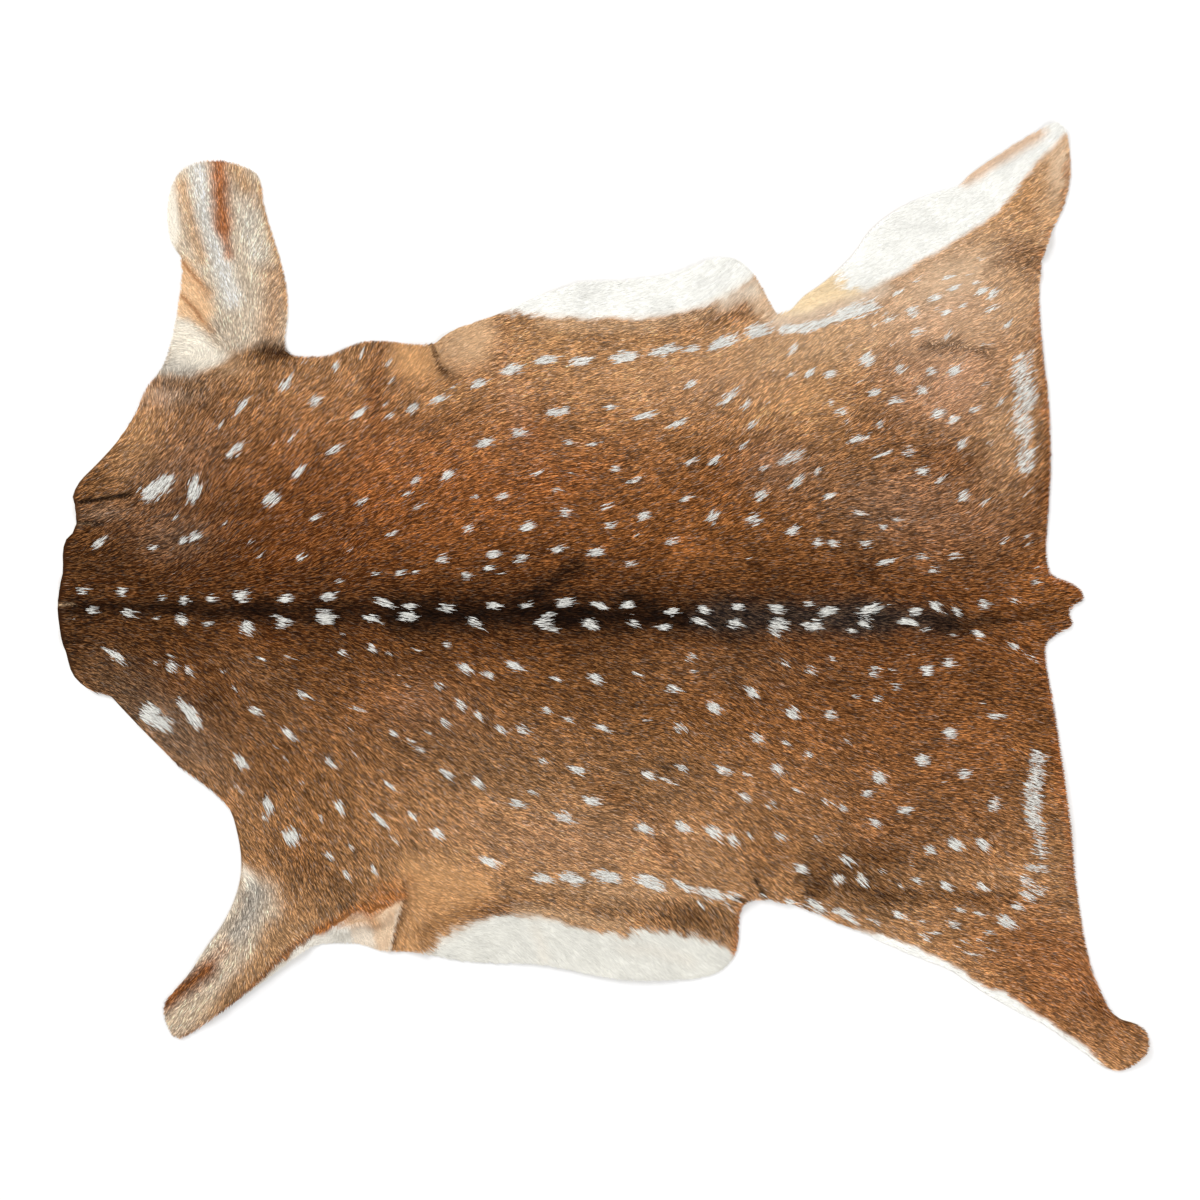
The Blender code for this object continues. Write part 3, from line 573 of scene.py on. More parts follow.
# White spots: the middle, how long and wide they are, the lie of their hair in degrees from +X, and how
# many of their hairs are white
SPOT_COLUMNS = ("x", "y", "length", "width", "lie", "share")
SPOTS = {
    "neck, upper": (
        (-452, 105, 24, 18, 45, 1.0), (-440, 112, 26, 18, 48, 1.0), (-432, 118, 16, 9, 50, 0.9),
        (-408, 107, 34, 13, 80, 1.0), (-503, 54, 20, 8, 35, 0.9), (-449, 50, 14, 8, 10, 0.9),
        (-420, 57, 14, 10, 35, 1.0), (-406, 60, 18, 12, 38, 1.0), (-426, 80, 12, 4, 50, 0.7),
        (-422, 35, 10, 3, 40, 0.5), (-427, 23, 7, 2, 40, 0.5), (-382, 171, 14, 4, 55, 0.7),
        (-361, 190, 26, 8, 50, 1.0), (-367, 147, 24, 10, 42, 1.0), (-377, 74, 12, 3, 48, 0.6),
    ),
    "shoulder, upper": (
        (-310, 159, 17, 4, 50, 0.7), (-328, 154, 8, 2, 50, 0.5), (-303, 125, 22, 8, 50, 0.95),
        (-332, 98, 22, 12, 38, 1.0), (-350, 116, 8, 2, 35, 0.5), (-288, 79, 17, 5, 25, 0.9),
        (-351, 56, 9, 4, 35, 0.6), (-341, 42, 16, 5, 35, 0.8), (-301, 40, 14, 7, 35, 0.9),
        (-316, 213, 24, 9, 55, 1.0), (-266, 231, 14, 7, 60, 0.9), (-241, 243, 15, 3, 70, 0.7),
        (-287, 195, 18, 9, 28, 0.95), (-243, 184, 22, 8, 33, 0.95), (-218, 192, 15, 5, 50, 0.8),
        (-213, 181, 18, 5, 28, 0.8), (-211, 216, 14, 4, 42, 0.6), (-213, 236, 14, 5, 60, 0.35),
        (-298, 234, 10, 5, 45, 0.3), (-267, 148, 22, 8, 34, 1.0), (-274, 173, 11, 3, 45, 0.4),
        (-241, 95, 18, 8, 32, 0.8), (-211, 63, 14, 4, 22, 0.7), (-263, 16, 10, 5, 30, 0.6),
        (-227, 24, 13, 5, 8, 0.6), (-253, 47, 10, 3, 45, 0.35),
    ),
    "saddle, upper": (
        (-190, 188, 17, 7, 40, 0.9), (-164, 197, 22, 7, 22, 1.0), (-149, 210, 16, 5, 25, 0.55),
        (-124, 213, 20, 8, 20, 1.0), (-118, 154, 20, 9, 16, 1.0), (-84, 165, 20, 8, 10, 1.0),
        (-155, 122, 19, 8, 32, 1.0), (-186, 117, 17, 6, 30, 0.7), (-195, 102, 17, 6, 28, 0.9),
        (-184, 90, 13, 5, 25, 0.6), (-127, 100, 14, 5, 15, 0.8), (-101, 100, 17, 7, 14, 0.9),
        (-66, 123, 17, 4, 18, 0.6), (-134, 68, 14, 7, 25, 0.85), (-76, 70, 18, 9, 15, 0.9),
        (-160, 37, 14, 9, 15, 0.9), (-109, 43, 16, 9, 10, 1.0), (-82, 39, 16, 9, 12, 0.85),
        (-114, 29, 14, 5, 10, 0.9), (-136, 21, 14, 9, 5, 0.9), (-202, 24, 14, 5, 12, 0.9),
        (-187, 25, 12, 4, 15, 0.8), (-103, 23, 6, 2, 10, 0.4), (-48, 107, 13, 5, 5, 0.8),
        (-38, 84, 14, 10, -5, 0.75), (-46, 47, 20, 8, 18, 0.95), (-34, 155, 17, 4, 3, 0.85),
        (-8, 153, 17, 5, 12, 0.8), (-31, 123, 11, 3, 0, 0.5), (-15, 126, 9, 2, 0, 0.4),
    ),
    "upper belly line": (
        (-90, 228, 28, 10, 18, 1.0), (-56, 237, 30, 8, 8, 1.0), (-22, 236, 30, 9, 12, 1.0),
        (20, 240, 32, 12, 8, 1.0), (61, 246, 36, 10, 12, 1.0), (90, 248, 26, 7, 10, 1.0),
        (121, 254, 36, 12, 24, 1.0), (157, 267, 34, 14, 18, 1.0), (189, 268, 24, 10, 18, 1.0),
        (-44, 185, 26, 8, 10, 1.0), (8, 190, 17, 5, 8, 1.0), (43, 181, 28, 8, 12, 1.0),
        (74, 173, 28, 6, 25, 0.95), (88, 213, 20, 6, 32, 0.9), (126, 200, 30, 8, 40, 0.95),
        (143, 192, 19, 7, 50, 0.85), (165, 193, 8, 3, 45, 0.4), (172, 226, 10, 4, 38, 0.4),
        (188, 222, 15, 5, 30, 0.8), (190, 247, 18, 6, 50, 0.9),
    ),
    "loin, upper": (
        (12, 128, 14, 5, 8, 0.7), (33, 117, 21, 5, 22, 0.95), (89, 136, 17, 6, 28, 0.8),
        (112, 137, 20, 7, 38, 0.9), (141, 151, 16, 5, 45, 0.7), (150, 172, 17, 6, 50, 0.85),
        (187, 138, 32, 11, 30, 0.8), (160, 129, 14, 6, 25, 0.75), (194, 115, 22, 9, 38, 1.0),
        (158, 100, 18, 10, 35, 0.85), (83, 98, 18, 5, 16, 0.9), (4, 90, 17, 6, 18, 0.85),
        (40, 81, 18, 9, 18, 0.85), (8, 72, 16, 6, 10, 0.9), (34, 62, 12, 3, 28, 0.7),
        (110, 80, 20, 11, 38, 0.9), (150, 77, 18, 11, 20, 0.9), (190, 66, 18, 9, 22, 0.95),
        (-7, 45, 22, 9, 10, 0.95), (69, 55, 16, 8, 8, 0.9), (28, 33, 14, 8, 18, 0.6),
        (145, 37, 10, 6, 5, 0.6),
    ),
    "haunch, upper": (
        (238, 184, 16, 8, 8, 0.8), (245, 176, 8, 6, 60, 0.6), (277, 172, 13, 7, 42, 0.75),
        (255, 158, 25, 8, 16, 0.85), (215, 126, 14, 8, 30, 0.8), (279, 142, 21, 5, 20, 0.95),
        (306, 146, 18, 10, 5, 0.95), (319, 126, 16, 10, 10, 0.95), (337, 117, 15, 5, 36, 0.95),
        (226, 101, 16, 6, 25, 0.9), (257, 83, 15, 6, -8, 0.8), (281, 72, 12, 8, -10, 0.75),
        (295, 77, 12, 5, 5, 0.9), (216, 54, 14, 9, 0, 0.85), (230, 54, 14, 8, 0, 0.9),
        (262, 53, 15, 9, 8, 0.8), (283, 35, 22, 5, 18, 0.95), (318, 40, 14, 6, -8, 0.85),
        (330, 27, 12, 8, 0, 0.8), (352, 41, 14, 7, 10, 0.75), (334, 183, 16, 9, 22, 1.0),
        (350, 177, 16, 9, 28, 1.0), (359, 153, 15, 8, 42, 0.85), (388, 153, 9, 7, 42, 0.5),
        (371, 187, 15, 5, 20, 0.8), (341, 155, 8, 3, 35, 0.4), (328, 163, 10, 3, 20, 0.35),
        (361, 101, 16, 12, 35, 0.8), (381, 94, 14, 4, 48, 0.8), (401, 56, 13, 6, 35, 0.5),
        (424, 60, 13, 4, 24, 0.8), (426, 53, 12, 3, 24, 0.6), (430, 29, 20, 3, 18, 0.4),
        (434, 15, 16, 4, 3, 0.5), (365, 9, 10, 4, 8, 0.6), (424, 104, 14, 3, 48, 0.35),
        (406, 137, 10, 3, 45, 0.35),
    ),
    "thigh, upper": (
        (207, 224, 16, 7, 48, 0.9), (227, 223, 16, 8, 15, 0.85), (229, 194, 13, 8, 5, 0.7),
        (256, 215, 12, 3, 30, 0.4), (264, 237, 19, 14, 35, 1.0), (271, 204, 15, 9, 20, 0.95),
        (292, 196, 18, 6, 0, 0.9), (297, 227, 15, 8, 42, 0.95), (327, 226, 14, 9, 20, 0.8),
        (352, 227, 20, 9, 30, 1.0), (320, 206, 14, 10, 45, 0.9), (381, 212, 12, 4, 25, 0.5),
        (398, 195, 16, 6, 52, 0.75), (287, 278, 18, 7, 10, 0.75), (283, 282, 10, 5, 50, 0.6),
        (310, 285, 16, 12, 30, 0.75), (313, 265, 18, 7, 10, 1.0), (343, 260, 14, 4, 48, 0.65),
        (343, 284, 14, 6, 15, 0.95), (360, 291, 16, 5, 20, 0.9), (336, 289, 10, 5, 15, 0.35),
        (331, 299, 18, 5, 14, 0.95), (351, 309, 16, 6, 16, 1.0), (373, 315, 10, 4, 25, 0.8),
        (379, 306, 18, 7, 35, 1.0), (391, 303, 18, 8, 45, 1.0), (387, 287, 22, 7, 25, 0.8),
        (405, 272, 16, 5, 45, 0.75), (345, 319, 20, 4, 12, 0.8), (366, 323, 14, 3, 12, 0.8),
        (315, 316, 12, 4, 20, 0.7), (295, 304, 16, 4, 32, 0.9), (378, 336, 10, 6, 10, 0.5),
        (290, 253, 14, 4, 42, 0.4), (271, 271, 9, 4, 35, 0.45), (380, 252, 16, 5, 0, 0.25),
        (246, 252, 16, 8, 15, 0.25),
    ),
    "spine, upper row": (
        (-520, 6, 15, 8, 0, 0.9), (-480, 5, 14, 9, 0, 0.9), (-440, -2, 10, 7, 0, 0.8),
        (-418, -3, 14, 9, 0, 0.9), (-391, -2, 12, 9, 0, 0.9), (-361, 0, 20, 12, 5, 1.0),
        (-316, -2, 18, 12, 0, 1.0), (-274, 1, 20, 10, 10, 1.0), (-218, -6, 24, 8, -20, 1.0),
        (-193, -9, 17, 7, -5, 1.0), (-156, -11, 19, 9, -8, 1.0), (-109, -8, 22, 8, -3, 1.0),
        (-77, -8, 17, 6, 14, 0.95), (-37, -5, 22, 8, 12, 1.0), (-2, -9, 26, 6, -25, 1.0),
        (25, -8, 18, 9, 12, 1.0), (69, -15, 18, 8, 10, 0.95), (102, -12, 16, 8, -8, 0.95),
        (135, -10, 18, 8, -8, 1.0), (173, -12, 19, 10, -8, 1.0), (205, -7, 14, 6, 5, 0.8),
        (225, -14, 23, 10, 6, 1.0), (267, -13, 29, 12, 22, 1.0), (260, -27, 17, 8, -20, 0.95),
        (286, -6, 10, 4, -20, 0.4), (312, -15, 18, 8, 15, 0.8), (332, -9, 18, 9, -38, 0.95),
        (353, -15, 15, 7, -38, 0.8), (381, -7, 15, 10, 12, 0.75), (412, -3, 14, 7, -32, 0.8),
    ),
    "spine, lower row": (
        (-509, -12, 15, 9, 0, 0.9), (-473, -15, 16, 9, -20, 0.9), (-445, -21, 10, 4, 0, 0.7),
        (-420, -23, 16, 10, -30, 0.9), (-394, -27, 12, 6, 0, 0.8), (-356, -31, 18, 12, -35, 0.95),
        (-320, -25, 20, 13, -10, 1.0), (-277, -20, 22, 15, -5, 1.0), (-230, -22, 21, 8, -18, 1.0),
        (-195, -20, 22, 11, 5, 0.95), (-128, -25, 20, 9, -18, 0.95), (-121, -32, 14, 3, -22, 0.6),
        (-55, -18, 20, 7, 18, 0.8), (-57, -26, 22, 10, 0, 0.95), (-51, -32, 16, 5, -15, 0.8),
        (-12, -27, 19, 12, -22, 0.95), (31, -26, 18, 7, -26, 1.0), (28, -17, 10, 4, 5, 0.4),
        (60, -30, 18, 6, 0, 1.0), (96, -24, 20, 6, -22, 1.0), (107, -30, 12, 3, -30, 0.6),
        (132, -26, 16, 11, -12, 0.9), (175, -29, 25, 14, -12, 1.0), (172, -36, 18, 5, -38, 0.8),
        (210, -28, 24, 11, -8, 1.0), (249, -33, 15, 5, -20, 0.85), (305, -25, 26, 7, -12, 1.0),
        (323, -33, 14, 4, 10, 0.5), (351, -38, 11, 4, 5, 0.6), (376, -38, 18, 8, -20, 0.95),
        (411, -49, 15, 7, -28, 0.8), (426, -59, 12, 6, -20, 0.5), (434, -65, 12, 3, -15, 0.6),
        (-527, -22, 10, 3, 0, 0.6),
    ),
    "neck and shoulder, lower": (
        (-487, -58, 30, 8, -35, 1.0), (-447, -66, 9, 3, -30, 0.6), (-431, -70, 16, 9, -40, 0.9),
        (-413, -73, 14, 8, -35, 0.9), (-432, -58, 8, 2, -30, 0.5), (-379, -75, 9, 4, -45, 0.6),
        (-367, -92, 14, 2, -52, 0.5), (-340, -62, 14, 4, -20, 0.7), (-314, -60, 14, 2, -20, 0.5),
        (-452, -117, 26, 20, -35, 1.0), (-440, -126, 26, 16, -38, 1.0), (-412, -117, 40, 12, -55, 1.0),
        (-346, -114, 18, 8, -25, 0.9), (-299, -98, 18, 8, -28, 0.9), (-313, -137, 20, 7, -45, 0.9),
        (-362, -164, 24, 9, -55, 1.0), (-327, -149, 8, 3, -35, 0.5), (-316, -162, 14, 2, -52, 0.5),
        (-364, -191, 18, 4, -50, 0.7), (-299, -187, 10, 4, -55, 0.5), (-334, -208, 23, 9, -66, 1.0),
        (-338, -219, 17, 8, -62, 0.9), (-311, -240, 22, 16, -58, 1.0), (-285, -49, 7, 3, 0, 0.4),
        (-273, -44, 10, 2, -35, 0.4), (-258, -38, 9, 3, -20, 0.45), (-260, -56, 13, 6, -30, 0.8),
        (-230, -51, 15, 7, -32, 0.85), (-214, -57, 12, 3, -35, 0.7), (-186, -54, 12, 6, -16, 0.85),
        (-155, -46, 10, 8, 0, 0.6), (-245, -112, 20, 4, -20, 0.75), (-251, -133, 13, 2, -38, 0.35),
        (-272, -166, 19, 7, -46, 0.9), (-248, -157, 10, 3, -55, 0.4), (-281, -182, 8, 2, -60, 0.4),
        (-209, -137, 14, 6, -36, 0.8), (-213, -188, 18, 4, -38, 0.75), (-204, -78, 10, 3, -30, 0.6),
        (-195, -88, 13, 2, -3, 0.6), (-163, -89, 13, 6, -38, 0.5),
    ),
    "saddle, lower": (
        (-137, -71, 19, 8, -35, 1.0), (-114, -78, 17, 6, -25, 0.85), (-87, -69, 21, 9, -18, 0.95),
        (-46, -81, 17, 6, -16, 0.8), (-144, -104, 12, 4, -42, 0.9), (-141, -109, 15, 6, -40, 0.85),
        (-123, -119, 17, 7, -48, 0.9), (-101, -132, 16, 8, -35, 0.85), (-80, -132, 18, 8, -15, 0.85),
        (-55, -114, 14, 6, -22, 0.9), (-158, -126, 14, 7, -42, 0.75), (-174, -135, 12, 3, -28, 0.75),
        (-192, -145, 14, 5, -22, 0.75), (-183, -153, 14, 6, -20, 0.75), (-155, -176, 17, 10, -40, 0.8),
        (-125, -186, 17, 10, -38, 0.9), (-60, -164, 12, 7, -32, 0.75), (-71, -195, 14, 4, -28, 0.6),
        (-7, -82, 19, 9, -22, 0.9), (34, -77, 16, 6, -28, 0.85), (-40, -55, 6, 2, 0, 0.4),
        (-35, -122, 14, 5, -22, 0.75), (0, -131, 20, 6, -20, 0.85), (45, -123, 13, 6, 5, 0.7),
        (77, -131, 16, 9, -40, 0.8), (71, -92, 18, 8, -18, 0.85), (-25, -173, 23, 8, -15, 0.95),
        (46, -179, 17, 8, -25, 0.8), (65, -184, 22, 3, -28, 0.75), (80, -171, 16, 6, -32, 0.75),
        (-10, -199, 10, 2, 0, 0.4),
    ),
    "loin, lower": (
        (88, -60, 13, 8, -28, 0.7), (90, -75, 10, 4, 10, 0.6), (182, -66, 14, 4, -42, 0.7),
        (208, -73, 15, 9, -22, 0.75), (228, -62, 10, 6, -15, 0.4), (149, -95, 20, 9, -38, 0.9),
        (112, -110, 19, 11, -30, 0.9), (190, -116, 19, 10, -32, 0.9), (155, -141, 18, 9, -32, 0.85),
        (184, -146, 12, 5, -22, 0.85), (206, -158, 15, 7, -22, 0.9), (121, -173, 20, 8, -16, 0.9),
        (144, -177, 14, 5, -16, 0.85), (175, -171, 15, 9, -38, 0.85), (142, -200, 19, 8, -35, 0.75),
        (193, -192, 13, 3, -25, 0.7),
    ),
    "rump, lower": (
        (272, -74, 14, 11, -5, 0.75), (288, -72, 10, 4, 5, 0.6), (294, -90, 13, 7, -8, 0.85),
        (253, -99, 11, 5, -5, 0.75), (275, -102, 13, 9, -25, 0.7), (308, -58, 12, 3, 5, 0.3),
        (324, -73, 15, 12, -5, 0.9), (346, -66, 15, 9, 0, 0.8), (228, -117, 15, 12, -10, 0.8),
        (243, -146, 8, 7, -30, 0.45), (393, -119, 20, 7, -5, 0.85), (346, -120, 8, 3, -5, 0.35),
        (395, -99, 9, 3, -15, 0.4), (378, -105, 15, 2, -5, 0.35), (428, -86, 10, 4, 0, 0.4),
        (347, -136, 18, 10, 0, 0.95), (319, -163, 18, 12, -5, 0.95), (276, -180, 18, 10, -28, 0.9),
        (264, -197, 15, 8, -5, 0.85), (341, -184, 10, 3, 0, 0.5), (361, -177, 16, 11, 5, 0.85),
        (411, -153, 10, 5, -35, 0.35), (431, -153, 10, 3, -10, 0.35), (396, -167, 8, 3, 0, 0.3),
        (391, -207, 13, 14, -15, 0.75), (302, -213, 18, 9, 0, 0.9),
    ),
    "flank, lower": (
        (-263, -210, 21, 9, -56, 1.0), (-282, -221, 10, 5, -55, 0.7), (-222, -223, 31, 5, -41, 1.0),
        (-190, -217, 19, 7, -50, 0.7), (-165, -236, 19, 9, -38, 0.85), (-207, -244, 14, 5, -52, 0.5),
        (-273, -259, 13, 8, -52, 0.8), (-251, -251, 12, 5, -50, 0.6), (-256, -278, 16, 5, -55, 0.7),
        (-229, -272, 15, 5, -65, 0.6), (-302, -266, 12, 3, -75, 0.35), (-86, -207, 20, 9, -15, 0.95),
        (-38, -220, 25, 10, -22, 0.9), (-12, -204, 23, 7, -20, 0.95), (-5, -202, 16, 2, 0, 0.7),
        (41, -231, 22, 10, -30, 0.9), (80, -230, 25, 9, -32, 0.9), (112, -235, 24, 10, -38, 0.95),
        (131, -243, 21, 8, -44, 0.9), (147, -238, 14, 4, -48, 0.8), (169, -207, 13, 11, -35, 0.75),
        (224, -205, 14, 6, -35, 0.6), (240, -211, 14, 7, -28, 0.65), (177, -239, 17, 8, -32, 0.8),
        (214, -241, 12, 7, -20, 0.4), (198, -271, 18, 9, -25, 0.9), (272, -226, 17, 8, -26, 0.8),
    ),
    "lower belly line": (
        (-112, -265, 27, 9, -28, 1.0), (-62, -280, 28, 10, -14, 1.0), (-31, -281, 32, 12, -14, 1.0),
        (4, -279, 35, 12, -14, 1.0), (48, -285, 36, 13, -20, 1.0), (83, -290, 34, 8, -28, 1.0),
        (110, -297, 34, 10, -18, 1.0), (130, -300, 24, 9, -14, 0.9), (98, -307, 14, 3, -55, 0.9),
        (126, -309, 14, 6, -48, 0.6), (188, -305, 22, 5, -16, 0.75), (212, -309, 28, 11, -30, 1.0),
        (243, -318, 36, 8, -28, 1.0), (270, -324, 18, 5, -22, 0.55), (160, -298, 12, 3, -30, 0.5),
    ),
    "thigh, lower": (
        (245, -264, 20, 9, -42, 0.95), (236, -282, 15, 11, -50, 0.75), (260, -282, 20, 9, -45, 0.85),
        (279, -274, 12, 5, -22, 0.35), (298, -289, 8, 4, -45, 0.5), (330, -235, 10, 5, -10, 0.35),
        (327, -253, 15, 8, -28, 1.0), (353, -247, 20, 10, -38, 1.0), (379, -248, 19, 10, -42, 0.95),
        (314, -283, 14, 7, -12, 0.95), (309, -267, 10, 4, -22, 0.35), (344, -289, 20, 7, -32, 1.0),
        (296, -318, 21, 7, -20, 0.85), (320, -322, 12, 5, -10, 0.4), (357, -313, 17, 5, -18, 0.95),
        (376, -316, 14, 5, -14, 0.9), (351, -327, 22, 7, -14, 1.0), (403, -324, 26, 10, -35, 0.95),
        (414, -309, 17, 7, -16, 0.7), (380, -290, 19, 6, -40, 0.9), (385, -335, 11, 5, -5, 0.8),
        (322, -340, 18, 6, -32, 0.8), (331, -336, 14, 4, -8, 0.8), (352, -349, 16, 5, -28, 0.4),
        (364, -345, 19, 5, -18, 0.75), (376, -343, 10, 4, -10, 0.8), (388, -352, 12, 4, -10, 0.75),
        (392, -342, 8, 2, -5, 0.4), (372, -357, 28, 4, -10, 0.4),
    ),
}

# White stripes of the rump and thigh: the half width, how many of their hairs are white, the lie of
# their hair in degrees from +X, and the route
STRIPE_COLUMNS = ("name", "half_width", "share", "lie", "route")
STRIPES = (
    ("upper thigh, front", 3.5, 0.9, 25, ((182, 269), (204, 268))),
    ("upper thigh, middle", 4.0, 1.0, 20, ((208, 270), (224, 275), (240, 280))),
    ("upper thigh, rear", 5.5, 1.0, 18, ((240, 282), (254, 287), (268, 290))),
    ("upper rump, wisps", 3.0, 0.4, 25, ((414, 239), (428, 245))),
    ("upper rump, top", 8.0, 0.65, 22, ((420, 231), (418, 219))),
    ("upper rump, second", 7.0, 0.6, 28, ((421, 214), (423, 204))),
    ("upper rump", 8.0, 0.7, 35, ((422, 200), (418, 182), (422, 168))),
    ("upper rump, waist", 4.5, 0.6, 42, ((422, 164), (421, 150))),
    ("upper rump, foot", 7.0, 0.7, 42, ((422, 146), (423, 131))),
    ("lower rump, top", 5.5, 0.7, -25, ((435, -158), (433, -186))),
    ("lower rump", 6.0, 0.75, -28, ((430, -190), (431, -222))),
    ("lower rump, foot", 4.5, 0.5, -12, ((434, -226), (437, -256))),
    ("lower rump, gap", 3.5, 0.55, -15, ((424, -268), (438, -273))),
    ("lower rump, tail", 4.0, 0.45, -30, ((420, -281), (436, -293))),
    ("lower rump, end", 3.0, 0.6, -20, ((420, -296), (428, -300))),
)

# The lie of the coat where no spot shows it: place, and the direction from root to tip
FLOW = {
    "neck": (
        (-540, 60, 10), (-535, 10, 0), (-535, -40, -5), (-500, 100, 20), (-480, 140, 30), (-465, 170, 60),
        (-450, 200, 95), (-520, -80, -20), (-480, -100, -30), (-440, -145, -40), (-410, -165, -45),
        (-425, 205, 65), (-400, 225, 35), (-380, 232, 30), (-380, -12, 0), (-460, -5, 0),
    ),
    "upper foreleg": (
        (-380, 425, 92), (-380, 380, 95), (-400, 415, 100), (-395, 380, 105), (-385, 340, 112),
        (-370, 300, 115), (-350, 405, 80), (-345, 360, 66), (-332, 340, 52), (-325, 305, 45),
        (-320, 280, 55), (-332, 400, 60), (-350, 280, 98), (-345, 260, 80), (-330, 254, 60),
        (-410, 300, 130), (-405, 330, 120), (-420, 370, 112), (-432, 385, 100), (-425, 345, 125),
        (-410, 262, 185), (-425, 240, 205), (-385, 250, 150),
    ),
    "upper flank": (
        (-290, 235, 50), (-250, 245, 65), (-200, 240, 55), (-180, 235, 50), (-190, 215, 45),
        (-160, 240, 20), (-140, 262, 25), (-110, 275, 18), (-60, 265, 8), (0, 265, 5), (60, 265, 12),
        (100, 275, 40), (120, 285, 55), (145, 295, 60), (160, 290, 55), (175, 278, 50), (-80, 292, 20),
        (-40, 298, 15), (20, 300, 12), (80, 310, 25), (120, 320, 40), (140, 318, 50), (-10, 205, 12),
        (60, 210, 22), (0, 20, 5), (100, 20, 2), (180, 20, 3),
    ),
    "upper hind leg": (
        (195, 290, 15), (215, 300, 20), (250, 310, 25), (300, 330, 28), (350, 370, 30), (400, 410, 35),
        (440, 455, 40), (455, 465, 45), (380, 350, 28), (420, 380, 30), (445, 400, 35), (460, 440, 50),
        (420, 355, 20), (440, 335, 15), (430, 310, 45), (432, 280, 45), (436, 240, 45), (422, 225, 35),
        (424, 190, 45), (436, 190, 45), (422, 140, 45), (441, 150, 45), (440, 120, 48), (440, 80, 35),
        (438, 45, 28), (444, 25, 15), (240, 260, 30), (220, 250, 45),
    ),
    "rump and tail": (
        (300, 10, 3), (380, 20, 8), (420, 0, 5), (330, 90, 15), (280, 110, 8), (230, 80, 5), (460, 5, 12),
        (475, 2, 5), (455, -25, 12), (466, -28, 10), (447, -38, 15), (445, -70, -20), (450, -110, -8),
        (455, -150, -5), (440, -140, -10), (432, -180, -25), (432, -215, -25), (436, -245, -15),
        (462, -200, -5), (470, -260, -3), (474, -300, -5), (434, -270, -8), (428, -288, -28),
    ),
    "lower hind leg": (
        (478, -330, -15), (480, -360, -45), (490, -390, -50), (505, -410, -40), (540, -435, -20),
        (520, -455, -30), (480, -430, -28), (450, -400, -25), (430, -370, -15), (420, -340, -10),
        (440, -310, -5), (450, -340, -15), (300, -345, -30), (360, -378, -32), (420, -410, -32),
        (470, -445, -35), (270, -325, -35), (230, -315, -32), (250, -230, -25), (300, -240, -15),
        (400, -375, -15), (400, -240, -25), (420, -120, -5),
    ),
    "lower flank": (
        (150, -290, -45), (130, -285, -25), (130, -325, -60), (110, -320, -62), (80, -315, -60),
        (55, -310, -55), (30, -315, -35), (0, -318, -28), (-40, -310, -22), (-80, -305, -18),
        (-120, -300, -15), (-160, -345, -15), (-120, -345, -30), (-90, -350, -45), (-50, -350, -50),
        (0, -360, -50), (60, -360, -42), (110, -360, -35), (-130, -325, -5), (180, -290, -40),
        (-150, -270, -30), (30, -250, -20),
    ),
    "lower elbow": (
        (-190, -285, -20), (-170, -300, -15), (-150, -320, 0), (-190, -330, -50), (-180, -345, -45),
        (-165, -335, -20), (-215, -320, -60), (-220, -345, -80), (-240, -335, -60), (-215, -290, -45),
        (-240, -300, -45), (-275, -340, 200), (-310, -360, 215),
    ),
    "lower foreleg": (
        (-300, -310, -60), (-320, -300, -65), (-330, -320, -80), (-345, -300, 260), (-355, -315, 250),
        (-350, -340, 262), (-340, -355, 290), (-325, -340, -40), (-310, -335, -30), (-325, -355, -40),
        (-345, -375, -55), (-370, -340, 240), (-375, -365, 235), (-395, -360, 235), (-410, -385, 225),
        (-430, -400, 225), (-400, -400, 235), (-420, -425, 235), (-380, -395, 245), (-360, -385, 265),
        (-370, -400, 250), (-395, -420, 235), (-355, -280, -50), (-350, -250, -50), (-370, -220, -52),
        (-340, -180, -52), (-395, -180, -50),
    ),
}

# Creases of the skin: how deep the trough or, where it is negative, how high the ridge is, its half
# width and its route
CREASE_COLUMNS = ("name", "depth", "half_width", "route")
CREASES = (
    ("upper elbow", 1.8, 4.5, ((-172, 256), (-167, 242), (-161, 231), (-152, 220))),
    ("upper foreleg, upper", 1.6, 5, ((-424, 342), (-410, 325), (-394, 302))),
    ("upper foreleg, lower", 1.6, 5, ((-422, 306), (-408, 290), (-399, 272), (-386, 260))),
    ("upper foreleg, root", 2.0, 6, ((-352, 243), (-332, 239), (-306, 240))),
    ("neck, upper", 1.8, 5, ((-540, 92), (-508, 95), (-478, 98))),
    ("neck, second", 1.4, 4, ((-536, 76), (-500, 72))),
    ("neck, middle", 1.2, 4, ((-550, -6), (-528, -9))),
    ("neck, lower", 1.4, 4, ((-546, -45), (-522, -45))),
    ("lower elbow", 1.4, 3.5, ((-198, -282), (-196, -302), (-204, -330), (-211, -360))),
    ("lower elbow, beside", -0.9, 5, ((-205, -312), (-211, -334), (-218, -358))),
    ("arch", 1.8, 5, ((-262, -328), (-246, -318), (-232, -320), (-222, -314))),
    ("stifle slit", 1.8, 4, ((150, -276), (159, -294), (168, -310))),
    ("stifle, front", 1.4, 4, ((128, -298), (142, -304), (152, -308))),
    ("knee", 1.6, 9, ((383, 324), (416, 340), (444, 330))),
    ("thigh", 1.2, 9, ((323, 252), (352, 249), (386, 242))),
)


def smooth(value):
    """0 to 1 with level ends."""
    value = np.clip(value, 0.0, 1.0)
    return value * value * (3.0 - 2.0 * value)


def named(columns, rows):
    """The rows of a table, each with the names of its columns."""
    return [dict(zip(columns, row)) for row in rows]


def between(grid, i, j, u, v):
    """A grid's values at the shares u and v of the way from its points i, j to the next ones."""
    near = grid[i, j] * (1 - u) + grid[i + 1, j] * u
    far = grid[i, j + 1] * (1 - u) + grid[i + 1, j + 1] * u
    return near * (1 - v) + far * v


